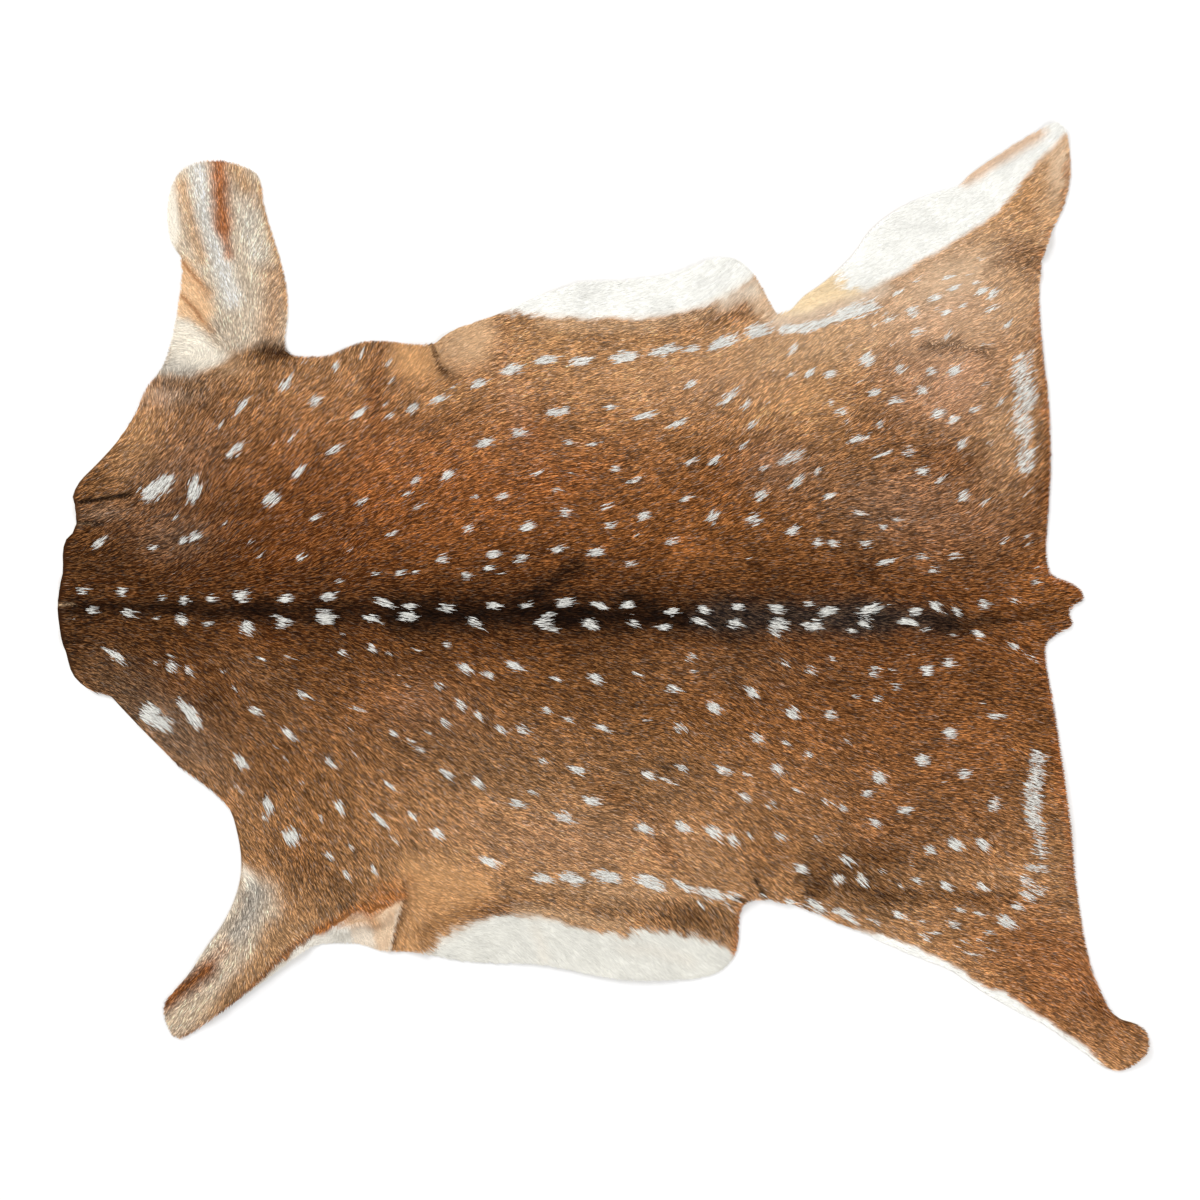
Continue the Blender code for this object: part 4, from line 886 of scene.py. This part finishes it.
def drift(points, size, seed):
    """Smooth random values from -1 to 1 that change over about that size."""
    lattice = np.random.default_rng(seed).uniform(-1, 1, (LATTICE, LATTICE))
    cell = points / size + LATTICE / 2
    low = np.floor(cell).astype(int)
    return between(lattice, *(low % (LATTICE - 1)).T, *smooth(cell - low).T)


def turned(x, y, turn):
    """How far places lie along a turn and across it."""
    return x * math.cos(turn) + y * math.sin(turn), y * math.cos(turn) - x * math.sin(turn)


def route_distance(points, route):
    """How far each point is from a route of straight runs."""
    route = np.array(route, float)
    nearest = np.full(len(points), np.inf)
    for a, b in zip(route[:-1], route[1:]):
        share = np.clip((points - a) @ (b - a) / ((b - a) @ (b - a)), 0.0, 1.0)
        nearest = np.minimum(nearest, np.linalg.norm(points - a - share[:, None] * (b - a), axis=1))
    return nearest


def near_route(points, route, reach):
    """Which points are in a route's box, widened by its reach."""
    route = np.array(route, float)
    return ((points > route.min(axis=0) - reach) & (points < route.max(axis=0) + reach)).all(axis=1)


def within(points, edge):
    """Which points lie inside a closed edge."""
    crossings = np.zeros(len(points), int)
    for a, b in zip(edge, np.roll(edge, -1, axis=0)):
        spans = (a[1] > points[:, 1]) != (b[1] > points[:, 1])
        run = b[1] - a[1] if b[1] != a[1] else 1.0
        crossings += spans & (points[:, 0] < a[0] + (points[:, 1] - a[1]) * (b[0] - a[0]) / run)
    return crossings % 2 == 1


def patch_share(points, patch):
    """The share of a soft round patch's tone, which is half at its reach."""
    along, across = turned(*(points - (patch["x"], patch["y"])).T, math.radians(patch["turn"]))
    return patch["share"] * 0.5 ** ((along / patch["along"]) ** 2 + (across / patch["across"]) ** 2)


def band_share(points, band):
    """The share of a band's tone, which is half at its half width and none at twice that."""
    share = np.zeros(len(points))
    near = near_route(points, band["route"], 2.0 * band["half_width"])
    off = route_distance(points[near], band["route"]) / band["half_width"]
    share[near] = band["share"] * smooth(1.0 - 0.5 * off)
    return share


def area_share(points, area):
    """The share of an area's tone, which is half at its edge and fades over its feather to each side."""
    share = np.zeros(len(points))
    edge = np.array(area["edge"], float)
    near = near_route(points, edge, area["feather"])
    depth = route_distance(points[near], np.vstack([edge, edge[:1]]))
    depth = np.where(within(points[near], edge), depth, -depth)
    share[near] = area["share"] * smooth(0.5 + 0.5 * depth / area["feather"])
    return share


def coat_at(points, tufts=0.0):
    """The coat's colour, hair length share and calmness at places in millimetres.

    Tufts move all the tones but the fine bands and those of the legs' short hair.
    """
    waver = np.stack([drift(points, WAVER_SIZE, seed) for seed in WAVER_SEEDS], axis=1)
    colour = np.tile(TONES["golden"], (len(points), 1))
    length = np.ones(len(points))
    areas = []
    charts = (
        (BANDS, BAND_COLUMNS, band_share, BROAD_WAVER, tufts),
        (PATCHES, PATCH_COLUMNS, patch_share, BROAD_WAVER, tufts),
        (MARKS, BAND_COLUMNS, band_share, BROAD_WAVER, tufts),
        (AREAS, AREA_COLUMNS, area_share, AREA_WAVER, tufts),
        (FINE_BANDS, BAND_COLUMNS, band_share, FINE_WAVER, 0.0),
    )
    for rows, columns, share_of, wavering, moved in charts:
        for item in named(columns, rows):
            long_hair = item.get("length", 1.0) >= 1.0
            share = share_of(points + wavering * waver + moved * long_hair, item)
            colour += share[:, None] * (TONES[item["tone"]] - colour)
            if "length" in item:
                length += share * (item["length"] - length)
                areas.append((share, item["calm"]))
    calm = calmness(colour)
    for share, wanted in areas:
        calm += share * (wanted - calm)
    for number, (size, strength) in enumerate(MOTTLES):
        mottle = drift(points, size, MOTTLE_SEED + number)
        colour *= 1.0 + (strength * (1.0 - calm) * mottle)[:, None]
    return colour, length, calm


def calmness(colour):
    """1 where the coat is pale and its hairs are all alike, and 0 where it is ticked light and dark."""
    return smooth((colour.mean(axis=1) - PALE[0]) / (PALE[1] - PALE[0]))


def guided_flow(points):
    """The lie of the coat, as the nearest guides and spots give it."""
    guides = [row for rows in FLOW.values() for row in rows]
    guides += [(x, y, lie) for rows in SPOTS.values() for x, y, _, _, lie, _ in rows]
    guides = np.array(guides, float)
    turn = np.radians(guides[:, 2])
    gap = np.linalg.norm(points[:, None, :] - guides[None, :, :2], axis=2)
    return 1.0 / (gap + GUIDE_REACH) ** GUIDE_FALL @ np.stack([np.cos(turn), np.sin(turn)], axis=1)


def flow_at(points):
    """The lie of the coat at places in millimetres as unit vectors, read between the points of a grid."""
    corner = points.min(axis=0)
    columns, rows = (np.ceil(np.ptp(points, axis=0) / FLOW_GRID) + 2).astype(int)
    grid = np.stack(np.meshgrid(np.arange(columns), np.arange(rows), indexing="ij"), axis=-1)
    chart = np.stack([guided_flow(corner + line * FLOW_GRID) for line in grid])
    cell = (points - corner) / FLOW_GRID
    low = np.floor(cell).astype(int)
    flow = between(chart, *low.T, *(cell - low).T[:, :, None])
    return flow / np.linalg.norm(flow, axis=1)[:, None]


def streaks(x, y, turn):
    """Random values from -1 to 1 that run on along the lie of the hair."""
    return drift(np.stack(turned(x, y, turn), axis=1), np.array(STREAK_SIZE), STREAK_SEED)


def spot_share(points):
    """How many of the hairs at each place are white for a spot or a stripe."""
    share = np.zeros(len(points))
    for spot in named(SPOT_COLUMNS, [row for rows in SPOTS.values() for row in rows]):
        offset = points - (spot["x"], spot["y"])
        near = np.abs(offset).max(axis=1) < spot["length"]
        turn = math.radians(spot["lie"])
        along, across = turned(*offset[near].T, turn)
        along = along / max(LEAST_HALF_LENGTH, (spot["length"] - SEEN_LENGTH) / 2)
        across = across / max(LEAST_HALF_WIDTH, spot["width"] / 2)
        streak = streaks(*points[near].T, turn)
        off = np.hypot(along, across) + SPOT_STREAKS * streak
        gaps = SPOT_GAPS * (GAPLESS_SHARE - spot["share"]) * smooth(GAP_SLOPE * streak - GAP_START)
        white = spot["share"] * smooth(SPOT_FADE[0] - SPOT_FADE[1] * off) * (1.0 - gaps)
        share[near] = np.maximum(share[near], white)
    for stripe in named(STRIPE_COLUMNS, STRIPES):
        near = near_route(points, stripe["route"], STRIPE_REACH * stripe["half_width"])
        off = route_distance(points[near], stripe["route"]) / stripe["half_width"]
        off += STRIPE_STREAKS * streaks(*points[near].T, math.radians(stripe["lie"]))
        share[near] = np.maximum(share[near], stripe["share"] * smooth(STRIPE_FADE - off))
    return share


class Wire:
    """A shader socket that takes part in sums, so that a material reads as an expression."""

    def __init__(self, tree, socket=None):
        self.tree = tree
        self.socket = socket

    def node(self, kind, settings, inputs, output=0):
        """Any node: its settings first, then its inputs, each a wire or a plain value."""
        made = self.tree.nodes.new(kind)
        for name, value in settings.items():
            setattr(made, name, value)
        for name, value in inputs.items():
            if isinstance(value, Wire):
                self.tree.links.new(value.socket, made.inputs[name])
            else:
                made.inputs[name].default_value = value
        return Wire(self.tree, made.outputs[output])

    def maths(self, operation, *values):
        """A sum of two wires or plain values."""
        return self.node("ShaderNodeMath", {"operation": operation}, dict(enumerate(values)))

    def __add__(self, other):
        return self.maths("ADD", self, other)

    def __sub__(self, other):
        return self.maths("SUBTRACT", self, other)

    def __rsub__(self, other):
        return self.maths("SUBTRACT", other, self)

    def __mul__(self, other):
        return self.maths("MULTIPLY", self, other)

    __radd__ = __add__
    __rmul__ = __mul__

    def scaled(self, share):
        """A colour or vector, times a value."""
        return self.node("ShaderNodeVectorMath", {"operation": "SCALE"}, {0: self, "Scale": share})

    def stretched(self, low, high, to_low, to_high):
        """This value's way from low to high, turned into one from to_low to to_high."""
        settings = {"interpolation_type": "SMOOTHSTEP"}
        inputs = {"Value": self, "From Min": low, "From Max": high, "To Min": to_low, "To Max": to_high}
        return self.node("ShaderNodeMapRange", settings, inputs)


def new_material(name, roughness, specular):
    """A plain material, a wire to start its nodes from, and its shader."""
    material = bpy.data.materials.new(name)
    material.use_nodes = True
    shader = material.node_tree.nodes["Principled BSDF"]
    shader.inputs["Roughness"].default_value = roughness
    shader.inputs["Specular IOR Level"].default_value = specular
    return material, Wire(material.node_tree), shader


def feed(wire, socket):
    """Joins a wire to a shader's socket."""
    wire.tree.links.new(wire.socket, socket)


def attribute(wire, name, output):
    """A value or vector that the mesh holds for each vertex."""
    settings = {"attribute_type": "GEOMETRY", "attribute_name": name}
    return wire.node("ShaderNodeAttribute", settings, {}, output)


def noise(wire, scale, detail):
    """Noise that stays with the object."""
    place = wire.node("ShaderNodeTexCoord", {}, {}, "Object")
    return wire.node("ShaderNodeTexNoise", {}, {"Vector": place, "Scale": scale, "Detail": detail}, "Fac")


def hair_material():
    """A ticked hair is dark at its root, brightest past its middle, and darker again at its tip."""
    # The specular is low: the coat's sheen is painted into the guard hairs' light and dark shades instead
    material, wire, shader = new_material("deer hair", roughness=0.65, specular=0.05)
    coat = attribute(wire, "coat", "Vector")
    along = attribute(wire, "along", "Fac")
    ticked = attribute(wire, "ticked", "Fac")
    root = along.stretched(0.0, 0.5, to_low=ROOT_SHADE, to_high=0.0)
    tip = along.stretched(0.7, 1.0, to_low=0.0, to_high=TIP_SHADE)
    patchy = noise(wire, scale=28.0, detail=3.0).stretched(*NOISE_RANGE, to_low=0.94, to_high=1.06)
    feed(coat.scaled((1.0 - (root + tip) * ticked) * patchy), shader.inputs["Base Color"])
    return material


def undercoat_material():
    """The dense short wool at the foot of the hair."""
    material, wire, shader = new_material("deer undercoat", roughness=0.95, specular=0.1)
    coat = attribute(wire, "coat", "Vector")
    woolly = noise(wire, scale=900.0, detail=2.0).stretched(*NOISE_RANGE, to_low=0.75, to_high=1.25)
    feed(coat.scaled(woolly), shader.inputs["Base Color"])
    return material


def flesh_material():
    """The tanned flesh side: pale suede, a little mottled."""
    material, wire, shader = new_material("deer suede", roughness=0.9, specular=0.2)
    pale, dull = (*linear(222, 206, 180), 1.0), (*linear(190, 166, 134), 1.0)
    mottle = noise(wire, scale=14.0, detail=5.0).stretched(0.35, 0.7, to_low=0.0, to_high=1.0)
    # A colour Mix has its factor at input 0, its colours at 6 and 7, and its colour output at 2
    tone = wire.node("ShaderNodeMix", {"data_type": "RGBA"}, {0: mottle, 6: pale, 7: dull}, 2)
    feed(tone, shader.inputs["Base Color"])
    nap = {"Strength": 0.3, "Distance": 0.4 * MM, "Height": noise(wire, scale=1600.0, detail=3.0)}
    feed(wire.node("ShaderNodeBump", {}, nap), shader.inputs["Normal"])
    return material


def placed(name, data):
    """A new object in the scene."""
    item = bpy.data.objects.new(name, data)
    bpy.context.scene.collection.objects.link(item)
    return item


def write_values(data, name, values):
    """A value or a vector for each vertex, which the materials read."""
    kind, field = ("FLOAT", "value") if values.ndim == 1 else ("FLOAT_VECTOR", "vector")
    values = values.astype(np.float32).ravel()
    data.attributes.new(name, kind, "POINT").data.foreach_set(field, values)


def flesh_surface(node):
    """The CAD sheet's underside as one open surface that faces up, split finely at the creases."""
    mesh = bmesh.new()
    mesh.from_mesh(node.data)
    bmesh.ops.remove_doubles(mesh, verts=mesh.verts[:], dist=WELD_DISTANCE)
    mesh.normal_update()
    hair_side = {v for face in mesh.faces if face.normal.z > 0.0 for v in face.verts}
    spare = [face for face in mesh.faces if any(v in hair_side for v in face.verts)]
    bmesh.ops.delete(mesh, geom=spare, context="FACES")
    bmesh.ops.reverse_faces(mesh, faces=mesh.faces[:])
    routes = [crease["route"] for crease in named(CREASE_COLUMNS, CREASES)]
    for _ in range(SPLIT_ROUNDS):
        middles = np.array([(e.verts[0].co.xy + e.verts[1].co.xy) / 2 for e in mesh.edges]) / MM
        near = np.min([route_distance(middles, route) for route in routes], axis=0) < CREASE_REACH / MM
        limits = np.where(near, CREASE_EDGE, SKIN_EDGE) * EDGE_ALLOWANCE
        long_edges = [e for e, limit in zip(mesh.edges, limits) if e.calc_length() > limit]
        if not long_edges:
            break
        bmesh.ops.subdivide_edges(mesh, edges=long_edges, cuts=1)
        bmesh.ops.triangulate(mesh, faces=mesh.faces[:])
        inside = [e for e in mesh.edges if not e.is_boundary]
        bmesh.ops.beautify_fill(mesh, faces=mesh.faces[:], edges=inside)
    inner = [v for v in mesh.verts if not v.is_boundary]
    every_axis = {"use_axis_x": True, "use_axis_y": True, "use_axis_z": True}
    for _ in range(SKIN_SMOOTHING):
        bmesh.ops.smooth_vert(mesh, verts=inner, factor=SMOOTHING_STRENGTH, **every_axis)
    return mesh


def unevenness(points):
    """Slight cockling, and the creases, as the skin's rise at places in millimetres."""
    cockle = drift(points, COCKLE_SIZE / MM, COCKLE_SEED) * COCKLE_SLOPE - COCKLE_START
    rise = COCKLE_HEIGHT * smooth(cockle)
    for crease in named(CREASE_COLUMNS, CREASES):
        off = route_distance(points, crease["route"]) / crease["half_width"]
        rise += MM * abs(crease["depth"]) * smooth(RIDGE_REACH - off)
        if crease["depth"] > 0.0:
            rise -= MM * crease["depth"] * smooth(1.0 - off)
    return rise


def build_skin(node):
    """The tanned skin: the undercoat on top, and the flesh side below and at the edge."""
    mesh = flesh_surface(node)
    for vert, rise in zip(mesh.verts, unevenness(np.array([v.co.xy for v in mesh.verts]) / MM)):
        vert.co.z += rise
    raised = bmesh.ops.extrude_face_region(mesh, geom=mesh.faces[:], use_keep_orig=True)
    top = [item for item in raised["geom"] if isinstance(item, bmesh.types.BMVert)]
    bmesh.ops.translate(mesh, verts=top, vec=(0.0, 0.0, SKIN_THICKNESS))
    top = set(top)
    for face in mesh.faces:
        face.smooth = True
        face.material_index = 0 if all(v in top for v in face.verts) else 1
    bmesh.ops.recalc_face_normals(mesh, faces=mesh.faces[:])
    data = bpy.data.meshes.new("skin")
    mesh.to_mesh(data)
    mesh.free()
    data.materials.append(undercoat_material())
    data.materials.append(flesh_material())
    points = np.empty(len(data.vertices) * 3)
    data.vertices.foreach_get("co", points)
    colour, _, calm = coat_at(points.reshape(-1, 3)[:, :2] / MM)
    ticked_shade, calm_shade = UNDERCOAT_SHADE
    write_values(data, "coat", colour * (ticked_shade + (calm_shade - ticked_shade) * calm)[:, None])
    return placed("skin", data)


class Coat:
    """The hairs' roots, lie, length and colour, worked out together."""

    def __init__(self, skin):
        self.random = np.random.default_rng(SEED)
        mesh = bmesh.new()
        mesh.from_mesh(skin.data)
        self.surface = BVHTree.FromBMesh(mesh)
        mesh.free()
        self.roots, self.normals = self.rooted()
        places = self.roots[:, :2] / MM
        flow = flow_at(places)
        self.line = sum(drift(places + step * flow, LINE_SIZE, LINE_SEED) for step in LINE_STEPS)
        self.line /= math.sqrt(len(LINE_STEPS))
        lock = drift(places, LOCK_SIZE / MM, LOCK_SEED) * LOCK_SPREAD
        turn = np.radians(self.around_zero(LEAN_SPREAD) + lock)
        self.lie = np.stack([
            flow[:, 0] * np.cos(turn) - flow[:, 1] * np.sin(turn),
            flow[:, 0] * np.sin(turn) + flow[:, 1] * np.cos(turn),
        ], axis=1)
        seen = places + self.lie * (HAIR_LENGTH / MM * SEEN_SHARE)
        self.spot = spot_share(seen) > self.any_of(*SPOT_THRESHOLD)
        tufts = RAGGED * (self.line + drift(places, TUFT_SIZE, TUFT_SEED))
        self.colour, share, self.calm = coat_at(seen, self.lie * tufts[:, None])
        self.length = HAIR_LENGTH * share * self.any_of(*LENGTH_SPREAD)
        self.length *= np.where(self.spot, self.any_of(*SPOT_LENGTH), 1.0)
        self.part_at_creases(places)
        self.trim_at_rim()
        self.tint()

    def any_of(self, low, high):
        """A random value from low to high for each hair."""
        return self.random.uniform(low, high, len(self.roots))

    def around_zero(self, spread):
        """A random value for each hair, most of them within the spread."""
        return self.random.normal(0.0, spread, len(self.roots))

    def skin_below(self, x, y):
        """Where a plumb line meets the skin and the skin's slope there, both None beside the skin."""
        return self.surface.ray_cast((x, y, RAY_HEIGHT), (0.0, 0.0, -1.0))[:2]

    def rooted(self):
        """Evenly scattered places on the skin, and the skin's slope there."""
        low, high = CAD_BOX
        columns = np.arange(low[0], high[0], HAIR_SPACING)
        rows = np.arange(low[1], high[1], HAIR_SPACING)
        grid = np.stack(np.meshgrid(columns, rows), axis=-1).reshape(-1, 2)
        grid += self.random.uniform(-0.5, 0.5, grid.shape) * HAIR_SPACING
        met = [self.skin_below(x, y) for x, y in grid]
        roots = np.array([place[:] for place, _ in met if place is not None])
        normals = np.array([normal[:] for _, normal in met if normal is not None])
        return roots, normals

    def part_at_creases(self, places):
        """Hairs at the foot of a trough are short, so that it shows as a line."""
        for crease in named(CREASE_COLUMNS, CREASES):
            if crease["depth"] > 0.0:
                off = route_distance(places, crease["route"]) / crease["half_width"]
                parted = smooth(PARTING_FADE[0] - PARTING_FADE[1] * off)
                self.length *= 1.0 - (1.0 - PARTING_SHARE) * parted
        self.length = np.maximum(self.length, SHORTEST_HAIR)

    def trim_at_rim(self):
        """Hairs that would reach far past the skin's edge are shorter."""
        allowed = self.any_of(*OVERHANG)
        tips = self.roots[:, :2] + self.lie * self.length[:, None]
        for i, (x, y) in enumerate(tips):
            if self.skin_below(x, y)[0] is None:
                place = self.surface.find_nearest((x, y, self.roots[i, 2]))[0]
                beyond = math.hypot(x - place.x, y - place.y) - allowed[i]
                if beyond > 0.0:
                    self.length[i] = max(self.length[i] - beyond, SHORTEST_HAIR)

    def tint(self):
        """The guard hairs are darker or lighter than the coat's tone, partly as painted sheen, and pale
        coats are calmer.
        """
        pick = self.any_of(0.0, 1.0)
        dark, light = pick < DARK_HAIRS, pick > 1.0 - LIGHT_HAIRS
        shade = self.any_of(*PLAIN_SHADE)
        shade = np.where(dark, self.any_of(*DARK_SHADE), shade)
        shade = np.where(light, self.any_of(*LIGHT_SHADE), shade)
        shade += self.calm * (self.any_of(*CALM_SHADE) - shade)
        shade *= 1.0 + (LINE_STRENGTH + (CALM_LINES - LINE_STRENGTH) * self.calm) * self.line
        dark_coat = 1.0 - smooth(self.colour.mean(axis=1) / STRAW_END)
        self.cast(STRAW_CAST, light * dark_coat * STRAW_SHARE * (1.0 - self.calm))
        ashen = self.any_of(0.0, 1.0) < ASH_HAIRS
        self.cast(ASH_CAST, ashen * (1.0 - self.calm) * ASH_SHARE)
        tone = self.colour.mean(axis=1)
        fleck = light * smooth(tone / FLECKED[0]) * (1.0 - smooth(tone / FLECKED[1])) * FLECK_SHARE
        self.colour *= shade[:, None]
        self.colour += fleck[:, None] * TONES["golden"]
        white = TONES["white"] * self.any_of(*SPOT_SHADE)[:, None]
        self.colour = np.minimum(np.where(self.spot[:, None], white, self.colour), BRIGHTEST)
        self.ticked = np.where(self.spot, CALM_TICKED, np.maximum(1.0 - self.calm, CALM_TICKED))
        self.guard = dark | light

    def cast(self, cast, share):
        """Turns a share of each hair's colour into a cast of the same lightness."""
        wanted = self.colour.mean(axis=1)[:, None] * np.array(cast)
        self.colour += share[:, None] * (wanted - self.colour)

    def corners(self):
        """The four corners of each hair: its root, its two sides at the middle, and its tip."""
        up = np.array([0.0, 0.0, 1.0])
        upright = np.maximum(self.normals[:, 2], LEAST_UPRIGHT)
        slope = -(self.normals[:, :2] * self.lie).sum(axis=1) / upright
        lie = np.column_stack([self.lie, np.clip(slope, -STEEPEST, STEEPEST)])
        side = np.column_stack([-self.lie[:, 1], self.lie[:, 0], np.zeros(len(lie))])
        roll = np.radians(self.around_zero(ROLL_SPREAD))
        roll = (roll * (1.0 - CALM_ROLL * self.calm))[:, None]
        bend = self.around_zero(HAIR_BEND)[:, None] * self.length[:, None]
        guard = self.any_of(*GUARD_RISE)
        plain = self.any_of(*PLAIN_RISE)
        rise = HAIR_RISE * np.where(self.guard, guard, plain) * np.minimum(1.0, self.length / HAIR_LENGTH)
        rise *= 1.0 - CALM_RISE * self.calm
        rise = (rise + self.any_of(*SPOT_LIFT) * self.spot)[:, None]
        width = HAIR_WIDTH * self.any_of(*WIDTH_SPREAD)[:, None]
        width *= np.where(self.spot, SPOT_WIDTH, 1.0 + (CALM_WIDTH - 1.0) * self.calm)[:, None]
        root = self.roots - up * ROOT_DEPTH
        middle = root + lie * (self.length * HAIR_MIDDLE)[:, None]
        middle = middle + up * rise * MIDDLE_RISE - side * bend * MIDDLE_BEND
        spread = (side * np.cos(roll) + up * np.sin(roll)) * width / 2
        tip = root + lie * self.length[:, None] + up * rise + side * bend
        corners = np.stack([root, middle - spread, tip, middle + spread], axis=1)
        corners[:, :, 2] = np.maximum(corners[:, :, 2], LOWEST)
        return corners


def build_hair(name, corners, colour, ticked, material):
    """One mesh of many hairs, each of two triangles with a square of the bake's map to itself."""
    count = len(corners)
    data = bpy.data.meshes.new(name)
    data.vertices.add(count * 4)
    data.vertices.foreach_set("co", corners.reshape(-1).astype(np.float32))
    first = np.arange(count)[:, None] * 4
    triangles = (first[:, :, None] + np.array([[[0, 1, 3], [1, 2, 3]]])).reshape(-1)
    data.loops.add(len(triangles))
    data.loops.foreach_set("vertex_index", triangles)
    data.polygons.add(count * 2)
    data.polygons.foreach_set("loop_start", np.arange(count * 2) * 3)
    data.update(calc_edges=True)
    write_values(data, "coat", np.repeat(colour, 4, axis=0))
    write_values(data, "along", np.tile([0.0, HAIR_MIDDLE, 1.0, HAIR_MIDDLE], count))
    write_values(data, "ticked", np.repeat(ticked, 4))
    side = math.ceil(math.sqrt(count))
    cell = np.stack([np.arange(count) % side, np.arange(count) // side], axis=1)
    low, high = BAKE_SQUARE
    square = np.array([[low, low], [high, low], [high, high], [low, high]])
    places = ((cell[:, None, :] + square) / side).reshape(-1, 2)[triangles]
    data.uv_layers.new(name="OFBake").data.foreach_set("uv", places.astype(np.float32).ravel())
    data.materials.append(material)
    return placed(name, data)


def build_coat(skin):
    """The hairs in a few meshes from neck to rump, so that none holds too many triangles."""
    coat = Coat(skin)
    corners = coat.corners()
    order = np.argsort(coat.roots[:, 0], kind="stable")
    material = hair_material()
    return [
        build_hair(name, corners[part], coat.colour[part], coat.ticked[part], material)
        for name, part in zip(HAIR_PIECES, np.array_split(order, len(HAIR_PIECES)))
    ]


def build_floor():
    """A pale floor just under the skin."""
    mesh = bmesh.new()
    bmesh.ops.create_grid(mesh, x_segments=1, y_segments=1, size=FLOOR_SIZE)
    data = bpy.data.meshes.new("floor")
    mesh.to_mesh(data)
    mesh.free()
    material, _, shader = new_material("pale floor", roughness=0.9, specular=0.1)
    shader.inputs["Base Color"].default_value = FLOOR_TONE
    data.materials.append(material)
    floor = placed("floor", data)
    floor.location.z = -FLOOR_DROP
    return floor


def add_light(name, place, size, power):
    """A square light that faces the hide's middle."""
    light = bpy.data.lights.new(name, "AREA")
    light.size = size
    light.energy = power
    item = placed(name, light)
    item.location = place
    item.rotation_euler = (-Vector(place)).to_track_quat("-Z", "Y").to_euler()


def build_studio():
    """The lights, the white surroundings, and a camera straight above the hide."""
    for light in LIGHTS:
        add_light(*light)
    world = bpy.data.worlds.new("studio")
    world.use_nodes = True
    background = world.node_tree.nodes["Background"]
    background.inputs["Color"].default_value = SKY_TONE
    background.inputs["Strength"].default_value = SKY_STRENGTH
    bpy.context.scene.world = world
    camera = bpy.data.cameras.new("camera")
    camera.lens = LENS
    item = placed("camera", camera)
    item.location = CAMERA_PLACE
    bpy.context.scene.camera = item
    bpy.context.scene.view_settings.view_transform = "Standard"


floor = build_floor()
skin = build_skin(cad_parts["hide"])
hairs = build_coat(skin)
for piece in (skin, *hairs):
    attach(piece, "root")
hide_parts("hide")
build_studio()
